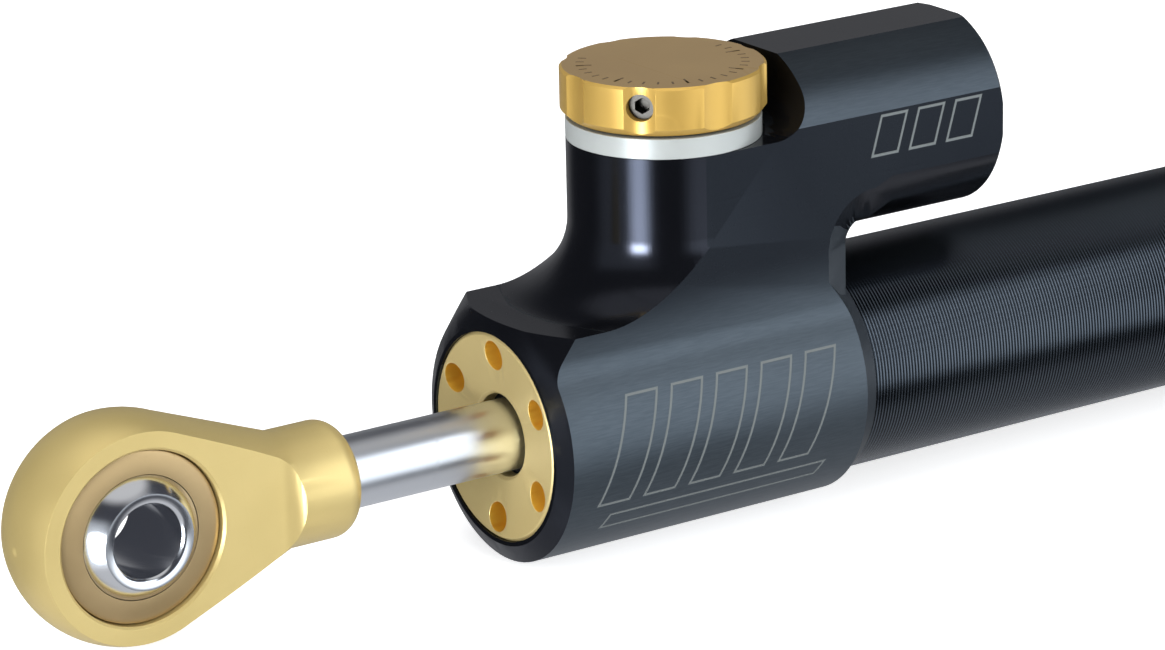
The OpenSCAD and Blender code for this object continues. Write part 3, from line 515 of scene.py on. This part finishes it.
def merged(name, title):
    """A copy of a solid with its loose triangles joined and its flat faces made whole."""
    mesh = bpy.data.meshes.new(title)
    work = bmesh.new()
    work.from_mesh(NODES[name].data)
    bmesh.ops.remove_doubles(work, verts=work.verts, dist=2e-6)
    bmesh.ops.dissolve_degenerate(work, dist=1e-6, edges=work.edges)
    bmesh.ops.dissolve_limit(work, angle_limit=math.radians(0.6), verts=work.verts, edges=work.edges)
    bmesh.ops.recalc_face_normals(work, faces=work.faces)
    work.to_mesh(mesh)
    work.free()
    return add_object(title, mesh)


AXES = {"x": (Vector((1, 0, 0)), Vector((0, 1, 0)), Vector((0, 0, 1))),
    "y": (Vector((0, 1, 0)), Vector((0, 0, 1)), Vector((1, 0, 0)))}


def arc(radius, reach, steps):
    """Points of a round section, from one side of its middle to the other."""
    turns = [-reach + 2 * reach * step / steps for step in range(steps + 1)]
    return [(radius * math.sin(turn), radius * math.cos(turn)) for turn in turns]


def lathe(title, profile, axis, steps=160, capped=False):
    """Turns a profile of (place along the axis, radius) points, closed on itself or capped at its ends."""
    along, side, rise = AXES[axis]
    work = bmesh.new()
    rings = []
    for place, radius in profile:
        ring = []
        for step in range(steps):
            turn = 2 * math.pi * step / steps
            spot = along * place + (side * math.cos(turn) + rise * math.sin(turn)) * radius
            ring.append(work.verts.new(spot * MM))
        rings.append(ring)
    following = rings[1:] if capped else rings[1:] + rings[:1]
    for one, two in zip(rings, following):
        for step in range(steps):
            after = (step + 1) % steps
            work.faces.new((one[step], one[after], two[after], two[step]))
    if capped:
        work.faces.new(rings[0])
        work.faces.new(list(reversed(rings[-1])))
    bmesh.ops.recalc_face_normals(work, faces=work.faces)
    mesh = bpy.data.meshes.new(title)
    work.to_mesh(mesh)
    work.free()
    smooth(mesh, 34)
    return add_object(title, mesh)


# Pieces

def make_rod():
    """The rod, screwed into the rod end, with two grooves for the piston's circlips."""
    start = SOCKET_X - SOCKET_DEPTH
    clips = []
    for side in (-1, 1):
        middle = PISTON_X + side * CLIP_X
        low, high = middle - CLIP_HALF_W, middle + CLIP_HALF_W
        clips += [(low, ROD_R), (low, CLIP_R), (high, CLIP_R), (high, ROD_R)]
    thread = []
    turn = start + 0.8
    while turn < SOCKET_X - 1.2:
        thread += [(turn, ROD_THREAD_R), (turn + 0.25, ROOT_R), (turn + 0.5, ROOT_R),
            (turn + 0.75, ROD_THREAD_R)]
        turn += 1.0
    collar = [(SOCKET_X - 0.3, ROD_THREAD_R), (SOCKET_X - 0.3, ROOT_R), (SOCKET_X, ROOT_R),
        (SOCKET_X, ROD_R - 0.3), (SOCKET_X + 0.3, ROD_R)]
    far_end = [(ROD_END_X - 0.6, ROD_R), (ROD_END_X - 0.18, ROD_R - 0.18), (ROD_END_X, ROD_R - 0.6)]
    profile = [(start, 2.5), (start + 0.5, ROD_THREAD_R)] + thread + collar + clips + far_end
    rod = lathe("chromed_rod", profile, "x", steps=128, capped=True)
    settle(rod, "piston_rod", "hard_chrome")


def make_ball():
    outer = math.asin(BALL_HALF_W / BALL_R)
    edge = BALL_R * math.cos(outer)
    face = [(BALL_HALF_W, edge - 0.1), (BALL_HALF_W, BORE_R + 0.45), (BALL_HALF_W - 0.12, BORE_R + 0.2),
        (BALL_HALF_W - 0.4, BORE_R)]
    far_face = [(-place, radius) for place, radius in reversed(face)]
    ball = lathe("polished_ball", arc(BALL_R, outer, 40) + face + far_face, "y")
    settle(ball, "bearing_ball", "bright_chrome")


def make_race():
    inner = BALL_R + 0.05
    face = [(RACE_HALF_W, RACE_R - 0.75), (RACE_HALF_W - 0.18, RACE_R - 0.2), (RACE_HALF_W - 0.7, RACE_R)]
    far_face = [(-place, radius) for place, radius in reversed(face)]
    reach = math.asin(RACE_HALF_W / inner)
    race = lathe("bronze_race", face + far_face + arc(inner, reach, 32), "y")
    settle(race, "bearing_race", "bronze")


def make_tube():
    """The tube, with its thread turned down inside the housing and a groove for the O-ring."""
    low, high = TUBE_RING_X - RING_HALF_W, TUBE_RING_X + RING_HALF_W
    seat = [(low, THREAD_R), (low, THREAD_R - RING_DEPTH), (high, THREAD_R - RING_DEPTH), (high, THREAD_R)]
    front = [(TUBE_FRONT_X, TUBE_IN_R), (TUBE_FRONT_X, THREAD_R - 0.2), (TUBE_FRONT_X + 0.2, THREAD_R)]
    profile = front + seat + [(BARREL_END_X, THREAD_R), (BARREL_END_X, TUBE_R - RIDGE_H),
        (TUBE_END_X - 1.2, TUBE_R - RIDGE_H), (TUBE_END_X - 1.1, TUBE_R), (TUBE_END_X - 0.6, TUBE_R),
        (TUBE_END_X - 0.15, TUBE_R - 0.3), (TUBE_END_X, TUBE_R - 0.6), (TUBE_END_X, TUBE_IN_R)]
    tube = lathe("turned_tube", profile, "x")
    settle(tube, "damper_tube", "black_tube")
    make_ridges()


def geometry_sockets(tree, wanted):
    """Gives a geometry tree its named inputs and its one output."""
    for title, kind, value in wanted:
        socket = tree.interface.new_socket(title, in_out="INPUT", socket_type=kind)
        if value is not None:
            socket.default_value = value
    tree.interface.new_socket("Geometry", in_out="OUTPUT", socket_type="NodeSocketGeometry")
    return tree.nodes.new("NodeGroupInput"), tree.nodes.new("NodeGroupOutput")


def finish_instances(tree, placed, start, end):
    """Makes instances real and gives them the tree's material."""
    real = node(tree, "GeometryNodeRealizeInstances")
    tree.links.new(placed.outputs[0], real.inputs[0])
    painted = node(tree, "GeometryNodeSetMaterial")
    tree.links.new(real.outputs[0], painted.inputs["Geometry"])
    tree.links.new(start.outputs["Material"], painted.inputs["Material"])
    tree.links.new(painted.outputs[0], end.inputs[0])


def ridge_tree():
    """Rings set along X, one to a pitch: what the lathe tool leaves between its grooves."""
    tree = bpy.data.node_groups.new("turned ridges", "GeometryNodeTree")
    wanted = [("Radius", FLOAT, 0.0126), ("Ridge", FLOAT, 0.0002), ("Pitch", FLOAT, 0.00045),
        ("Start", FLOAT, 0.0), ("Count", "NodeSocketInt", 10), ("Material", "NodeSocketMaterial", None)]
    start, end = geometry_sockets(tree, wanted)
    link = tree.links.new
    circle = node(tree, "GeometryNodeCurvePrimitiveCircle")
    circle.inputs["Resolution"].default_value = 96
    link(start.outputs["Radius"], circle.inputs["Radius"])
    section = node(tree, "GeometryNodeCurvePrimitiveCircle")
    section.inputs["Resolution"].default_value = 6
    link(start.outputs["Ridge"], section.inputs["Radius"])
    ring = node(tree, "GeometryNodeCurveToMesh")
    link(circle.outputs[0], ring.inputs["Curve"])
    link(section.outputs[0], ring.inputs["Profile Curve"])
    row = node(tree, "GeometryNodeMeshLine")
    link(start.outputs["Count"], row.inputs["Count"])
    for source, target in (("Pitch", "Offset"), ("Start", "Start Location")):
        spot = node(tree, "ShaderNodeCombineXYZ")
        link(start.outputs[source], spot.inputs[0])
        link(spot.outputs[0], row.inputs[target])
    placed = node(tree, "GeometryNodeInstanceOnPoints")
    link(row.outputs[0], placed.inputs["Points"])
    link(ring.outputs[0], placed.inputs["Instance"])
    placed.inputs["Rotation"].default_value = (0, math.pi / 2, 0)
    finish_instances(tree, placed, start, end)
    return tree


def grow(title, tree, **values):
    """Runs a geometry tree on an empty mesh and keeps the result as a plain mesh."""
    carrier = add_object(title + "_seed", bpy.data.meshes.new(title + "_seed"))
    modifier = carrier.modifiers.new("grow", "NODES")
    modifier.node_group = tree
    for item in tree.interface.items_tree:
        if item.item_type == "SOCKET" and item.in_out == "INPUT" and item.name in values:
            modifier[item.identifier] = values[item.name]
    graph = bpy.context.evaluated_depsgraph_get()
    graph.update()
    mesh = bpy.data.meshes.new_from_object(carrier.evaluated_get(graph), depsgraph=graph)
    seed = carrier.data
    bpy.data.objects.remove(carrier)
    bpy.data.meshes.remove(seed)
    mesh.name = title
    return add_object(title, mesh)


def make_ridges():
    first = BARREL_END_X + 0.5
    count = int((TUBE_END_X - 1.4 - first) / RIDGE_PITCH)
    ridges = grow("turned_ridges", ridge_tree(), Radius=(TUBE_R - RIDGE_R) * MM, Ridge=RIDGE_R * MM,
        Pitch=RIDGE_PITCH * MM, Start=first * MM, Count=count, Material=MATERIALS["black_tube"])
    smooth(ridges.data, 70)
    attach(ridges, body_of("damper_tube"))


def on_stub(middle, normal):
    """Whether a face belongs to the round of the reservoir stub."""
    return abs(math.hypot(middle.y, middle.z - STUB_Z) - STUB_R) < 0.3 and abs(normal.x) < 0.1


def rear_band(middle, normal):
    """Whether a face belongs to the bevel that runs round the barrel's rear end and up the notch."""
    if middle.x < REAR_BAND_X or middle.z > REAR_BAND_TOP or math.hypot(middle.y, middle.z) < TUBE_R + 0.1:
        return False
    if on_stub(middle, normal):
        return False
    lean = abs(normal.y) if middle.z > ROUND_TOP_Z else math.hypot(normal.y, normal.z)
    faces_rear = normal.x > LEAST_LEAN
    faces_notch = normal.z < -LEAST_LEAN and middle.z > SHELF_Z
    return 0.05 < lean < 0.97 and (faces_rear or faces_notch)


def brushed(middle, normal):
    """How a face of the housing is finished, as a face value."""
    barrel = abs(math.hypot(middle.y, middle.z) - BARREL_R) < 0.25 and abs(normal.x) < 0.1
    blend = abs(normal.x) < 0.1 and abs(middle.y) > WEB_R - 0.3 and middle.z < SHELF_Z
    flat_side = abs(normal.y) > 0.98 and abs(middle.y) > 9
    if barrel or blend or flat_side:
        return FLANK
    if rear_band(middle, normal) and middle.z < REAR_EDGE_TOP:
        return REAR_EDGE
    if middle.x > REAR_BAND_X + 1 and middle.z > STUB_Z - 2 and on_stub(middle, normal):
        return STUB_SIDE
    return TURNED


# Node, name, material, slot and the width of the soft edges in millimetres
SOFT_PIECES = [
    ("rod_end", "turned_rod_end", "gold_satin", "gold_satin", 0.18),
    ("click_ring", "pale_click_ring", "clear_anodised", "clear_anodised", 0.12),
    ("knob_grub_screw", "socket_grub_screw", "screw_steel", "black_steel", 0.06),
    ("reservoir_cap", "reservoir_end_cap", "black_gloss", "black_anodised", 0.15),
]


def make_soft_pieces():
    for name, title, material, slot, width in SOFT_PIECES:
        piece = merged(name, title)
        smooth(piece.data)
        settle(piece, name, material)
        soften(piece, width)


def set_face_values(piece, name, rule):
    values = [rule(face.center / MM, face.normal) for face in piece.data.polygons]
    layer = piece.data.attributes.new(name, "FLOAT", "FACE")
    layer.data.foreach_set("value", values)


def make_gland(name, title, face_x, holes_r):
    """A gland whose wrench holes get painted shade, a deeper and darker gold, from their chamfer inwards."""
    def in_hole(middle, normal):
        turn = math.atan2(middle.y, middle.z)
        turn -= round(turn / math.radians(60)) * math.radians(60)
        away = math.hypot(middle.y, middle.z)
        reach = math.hypot(away * math.cos(turn) - holes_r, away * math.sin(turn))
        return 1.0 if reach < HOLE_REACH and abs(middle.x - face_x) > HOLE_CHAMFER else 0.0

    piece = merged(name, title)
    set_face_values(piece, "hole", in_hole)
    smooth(piece.data)
    settle(piece, name, "gold_anodised")
    soften(piece, 0.09)


def make_knob():
    def on_top(middle, normal):
        return 1.0 if normal.z > 0.9 and middle.z > KNOB_TOP_Z - 0.1 else 0.0

    piece = merged("adjuster_knob", "fluted_knob")
    set_face_values(piece, "top", on_top)
    for corner in piece.data.vertices:
        if corner.co.z > (KNOB_TOP_Z - 0.01) * MM:
            corner.co.z -= MARK_H * MM
    smooth(piece.data)
    settle(piece, "adjuster_knob", "gold_knob")
    soften(piece, 0.2, 3)
    make_marks("short_scale_marks", 25, 10.0, 0.9)
    make_marks("long_scale_marks", 5, 50.0, 1.7)


def mark_tree():
    """Bars set round an arc at even turns, all printed with one thickness."""
    tree = bpy.data.node_groups.new("scale marks", "GeometryNodeTree")
    wanted = [("Bar", VECTOR, (0.0003, 0.001, 0.0001)), ("Reach", VECTOR, (0.0, -0.009, 0.0)),
        ("Centre", VECTOR, (0.0, 0.0, 0.0)), ("First turn", FLOAT, 0.0), ("Turn", FLOAT, 0.1),
        ("Count", "NodeSocketInt", 10), ("Material", "NodeSocketMaterial", None)]
    start, end = geometry_sockets(tree, wanted)
    link = tree.links.new
    bar = node(tree, "GeometryNodeMeshCube")
    link(start.outputs["Bar"], bar.inputs["Size"])
    moved = node(tree, "GeometryNodeTransform")
    link(bar.outputs[0], moved.inputs["Geometry"])
    link(start.outputs["Reach"], moved.inputs["Translation"])
    row = node(tree, "GeometryNodeMeshLine")
    link(start.outputs["Count"], row.inputs["Count"])
    link(start.outputs["Centre"], row.inputs["Start Location"])
    row.inputs["Offset"].default_value = (0, 0, 0)
    index = node(tree, "GeometryNodeInputIndex")
    turns = start.outputs["Turn"], start.outputs["First turn"]
    turn = math_node(tree, "MULTIPLY_ADD", index.outputs[0], *turns)
    spin = node(tree, "ShaderNodeCombineXYZ")
    link(turn, spin.inputs[2])
    placed = node(tree, "GeometryNodeInstanceOnPoints")
    link(row.outputs[0], placed.inputs["Points"])
    link(moved.outputs[0], placed.inputs["Instance"])
    link(spin.outputs[0], placed.inputs["Rotation"])
    finish_instances(tree, placed, start, end)
    return tree


def make_marks(title, count, turn, length):
    """Scale marks on the knob's top, facing the rod end's side, flush with the top of the solid."""
    thick = MARK_H + 0.05
    first = MARK_MIDDLE - turn * (count - 1) / 2
    centre = (SPINDLE_X * MM, 0, (KNOB_TOP_Z - thick / 2 - 0.001) * MM)
    marks = grow(title, mark_tree(), Bar=(MARK_W * MM, length * MM, thick * MM), Centre=centre, Count=count,
        Reach=(0, -(MARK_OUT - length / 2) * MM, 0), Turn=math.radians(turn),
        Material=MATERIALS["dark_mark"], **{"First turn": math.radians(first)})
    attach(marks, body_of("adjuster_knob"))


def make_housing():
    """The housing. Its rear bevel is smooth, and the edges of its tops and of its flat flanks stay sharp."""
    piece = merged("valve_housing", "machined_housing")
    set_face_values(piece, "satin", brushed)
    smooth(piece.data, 25)
    work = bmesh.new()
    work.from_mesh(piece.data)
    for edge in work.edges:
        if all(rear_band(face.calc_center_median() / MM, face.normal) for face in edge.link_faces):
            edge.smooth = True
        rises = [face.normal.z for face in edge.link_faces]
        if max(rises) > 0.9995 and min(rises) < 0.997:
            edge.smooth = False
        flat = max(abs(face.normal.y) for face in edge.link_faces) > 0.9995
        sheens = [brushed(face.calc_center_median() / MM, face.normal) for face in edge.link_faces]
        if flat and min(sheens) < FLANK:
            edge.smooth = False
    work.to_mesh(piece.data)
    work.free()
    settle(piece, "valve_housing", "black_anodised")
    soften(piece, 0.12, 2, 25)


# The inner nodes that keep their own meshes, by material
INNER = {
    "bare_aluminium": ["piston", "inner_cylinder", "adjuster_cartridge", "floating_piston"],
    "rubber": ["piston_o_ring", "front_wiper", "rear_wiper", "front_rod_seal", "rear_rod_seal",
        "front_gland_o_ring", "rear_gland_o_ring", "tube_o_ring", "cylinder_o_ring", "cartridge_o_ring",
        "spindle_o_ring", "floating_piston_o_ring", "reservoir_cap_o_ring"],
    "spring_steel": ["piston_circlips", "detent_spring", "reservoir_spring", "reservoir_circlip"],
    "ivory_plastic": ["piston_guide_ring"],
    "bronze": ["front_rod_bush", "rear_rod_bush"],
    "steel": ["stop_pin", "adjuster_spindle", "metering_needle"],
    "bright_chrome": ["detent_ball"],
}


def dress_inner_nodes():
    for material, names in INNER.items():
        for name in names:
            for slot in NODES[name].material_slots:
                slot.material = MATERIALS[material]


def make_pieces():
    make_rod()
    make_ball()
    make_race()
    make_tube()
    make_soft_pieces()
    make_gland("front_gland", "front_gland_face", FRONT_X, FRONT_HOLES_R)
    make_gland("rear_gland", "rear_gland_face", TUBE_END_X, REAR_HOLES_R)
    make_knob()
    make_housing()
    dress_inner_nodes()


# Stage

def add_camera():
    az, el, roll = [math.radians(angle) for angle in CAMERA_ANGLES]
    back = Vector((math.sin(az) * math.cos(el), -math.cos(az) * math.cos(el), math.sin(el)))
    right = Vector((0, 0, 1)).cross(back).normalized()
    up = back.cross(right)
    across = math.cos(roll) * right + math.sin(roll) * up
    rise = -math.sin(roll) * right + math.cos(roll) * up
    place = Vector(CAMERA_PLACE)
    lens = bpy.data.cameras.new("camera")
    lens.sensor_width = SENSOR_W
    lens.lens = FOCAL_PIXELS / PHOTO_PIXELS * SENSOR_W
    lens.clip_start = 0.01
    camera = add_object("camera", lens)
    camera.matrix_world = Matrix([(across.x, rise.x, back.x, place.x), (across.y, rise.y, back.y, place.y),
        (across.z, rise.z, back.z, place.z), (0, 0, 0, 1)])
    bpy.context.scene.camera = camera


def window_group():
    """A soft-edged window of light: how much of it a direction sees. Angles are in radians."""
    tree, start, end = new_group("studio window", [("Direction", VECTOR, None),
        ("Towards", VECTOR, (1, 0, 0)), ("Half width", FLOAT, 0.4), ("Low", FLOAT, 0.0),
        ("High", FLOAT, 0.5), ("Soft side", FLOAT, 0.05), ("Soft end", FLOAT, 0.05)], [("Mask", FLOAT)])
    parts = node(tree, "ShaderNodeSeparateXYZ")
    tree.links.new(start.outputs["Direction"], parts.inputs[0])
    flat = node(tree, "ShaderNodeCombineXYZ")
    tree.links.new(parts.outputs[0], flat.inputs[0])
    tree.links.new(parts.outputs[1], flat.inputs[1])
    unit = node(tree, "ShaderNodeVectorMath", operation="NORMALIZE")
    tree.links.new(flat.outputs[0], unit.inputs[0])
    facing = node(tree, "ShaderNodeVectorMath", operation="DOT_PRODUCT")
    tree.links.new(unit.outputs[0], facing.inputs[0])
    tree.links.new(start.outputs["Towards"], facing.inputs[1])
    angle = math_node(tree, "ARCCOSINE", math_node(tree, "MINIMUM", facing.outputs["Value"], 0.99999))
    rise = math_node(tree, "ARCSINE", parts.outputs[2])

    def step(value, edge, spread):
        made = node(tree, "ShaderNodeMapRange", interpolation_type="SMOOTHSTEP")
        tree.links.new(value, made.inputs["Value"])
        tree.links.new(math_node(tree, "SUBTRACT", edge, spread), made.inputs["From Min"])
        tree.links.new(math_node(tree, "ADD", edge, spread), made.inputs["From Max"])
        return made.outputs[0]

    side, ends = start.outputs["Soft side"], start.outputs["Soft end"]
    around = math_node(tree, "SUBTRACT", 1.0, step(angle, start.outputs["Half width"], side))
    above = step(rise, start.outputs["Low"], ends)
    below = math_node(tree, "SUBTRACT", 1.0, step(rise, start.outputs["High"], ends))
    mask = math_node(tree, "MULTIPLY", around, math_node(tree, "MULTIPLY", above, below), clamp=True)
    tree.links.new(mask, end.inputs["Mask"])
    return tree


# Windows of light round the object, in degrees: azimuth, half width, lowest and highest elevation, softness
# at the sides and at the ends, colour
WINDOWS = [
    (-52, 45, -17, 4, 12, 6, (1.5, 1.61, 1.73)),
    (-53, 13, 3, 46, 6, 8, (2.6, 2.76, 2.95)),
    (-155, 9, -9, 3, 5, 4, (44.0, 47.0, 51.0)),
    (-155, 10, -32, -8, 8, 5, (8.0, 8.8, 10.0)),
    (-172, 34, -42, 24, 12, 8, (0.42, 0.45, 0.48)),
    (55, 38, -45, 25, 12, 10, (0.17, 0.17, 0.17)),
    (0, 180, -95, -35, 8, 8, (0.5, 0.51, 0.53)),
    (0, 180, 56, 95, 8, 8, (0.55, 0.55, 0.55)),
]
SKY = (0.05, 0.053, 0.065)


def add_world():
    world = bpy.data.worlds.new("studio")
    bpy.context.scene.world = world
    world.use_nodes = True
    tree = world.node_tree
    tree.nodes.clear()
    group = window_group()
    direction = node(tree, "ShaderNodeTexCoord").outputs["Generated"]
    total = None
    for azimuth, half, low, high, side, ends, colour in WINDOWS:
        turn = math.radians(azimuth)
        used = use_group(tree, group, Direction=direction, Towards=(math.cos(turn), math.sin(turn), 0),
            Low=math.radians(low), High=math.radians(high), **{"Half width": math.radians(half),
            "Soft side": math.radians(side), "Soft end": math.radians(ends)})
        lit = node(tree, "ShaderNodeVectorMath", operation="SCALE")
        lit.inputs[0].default_value = colour
        tree.links.new(used.outputs["Mask"], lit.inputs["Scale"])
        added = node(tree, "ShaderNodeVectorMath", operation="ADD")
        tree.links.new(lit.outputs[0], added.inputs[0])
        if total is None:
            added.inputs[1].default_value = SKY
        else:
            tree.links.new(total, added.inputs[1])
        total = added.outputs[0]
    studio = node(tree, "ShaderNodeBackground")
    tree.links.new(total, studio.inputs["Color"])
    white = node(tree, "ShaderNodeBackground")
    white.inputs["Color"].default_value = (1, 1, 1, 1)
    seen = node(tree, "ShaderNodeLightPath").outputs["Is Camera Ray"]
    choice = node(tree, "ShaderNodeMixShader")
    tree.links.new(seen, choice.inputs[0])
    tree.links.new(studio.outputs[0], choice.inputs[1])
    tree.links.new(white.outputs[0], choice.inputs[2])
    tree.links.new(choice.outputs[0], node(tree, "ShaderNodeOutputWorld").inputs[0])


def add_floor():
    """A pale floor that shows white where it is lit and grey in the object's shadow."""
    mesh = bpy.data.meshes.new("floor")
    reach, height = 3.0, -0.0148
    mesh.from_pydata([(-reach, -reach, height), (reach, -reach, height), (reach, reach, height),
        (-reach, reach, height)], [], [(0, 1, 2, 3)])
    floor = add_object("floor", mesh)
    made = bpy.data.materials.new("pale floor")
    made.use_nodes = True
    tree = made.node_tree
    shader = tree.nodes["Principled BSDF"]
    shader.inputs["Base Color"].default_value = (0.8, 0.8, 0.8, 1)
    shader.inputs["Roughness"].default_value = 0.9
    shader.inputs["Specular IOR Level"].default_value = 0.0
    shader.inputs["Emission Color"].default_value = (1, 1, 1, 1)
    seen = tree.nodes.new("ShaderNodeLightPath").outputs["Is Camera Ray"]
    tree.links.new(math_node(tree, "MULTIPLY", seen, 0.72), shader.inputs["Emission Strength"])
    mesh.materials.append(made)
    floor.visible_glossy = False


def add_lamp(name, place, target, size, energy):
    """An area lamp that lights the object without showing in its reflections."""
    lamp = bpy.data.lights.new(name, "AREA")
    lamp.shape = "RECTANGLE"
    lamp.size, lamp.size_y = size
    lamp.energy = energy
    made = add_object(name, lamp)
    made.location = place
    made.rotation_euler = (Vector(target) - Vector(place)).to_track_quat("-Z", "Y").to_euler()
    made.visible_glossy = False


def add_lamps():
    add_lamp("top_light", (-0.1, -0.2, 0.9), (0.08, 0, 0), (0.9, 0.9), 5.5)
    add_lamp("front_fill", (0.15, -0.95, 0.25), (0.08, 0, 0), (0.8, 0.8), 4.3)
    add_lamp("left_fill", (-0.9, -0.35, 0.3), (0.05, 0, 0), (0.6, 0.7), 8.5)


add_camera()
make_pieces()
add_world()
add_floor()
add_lamps()
bpy.context.scene.view_settings.view_transform = "Standard"
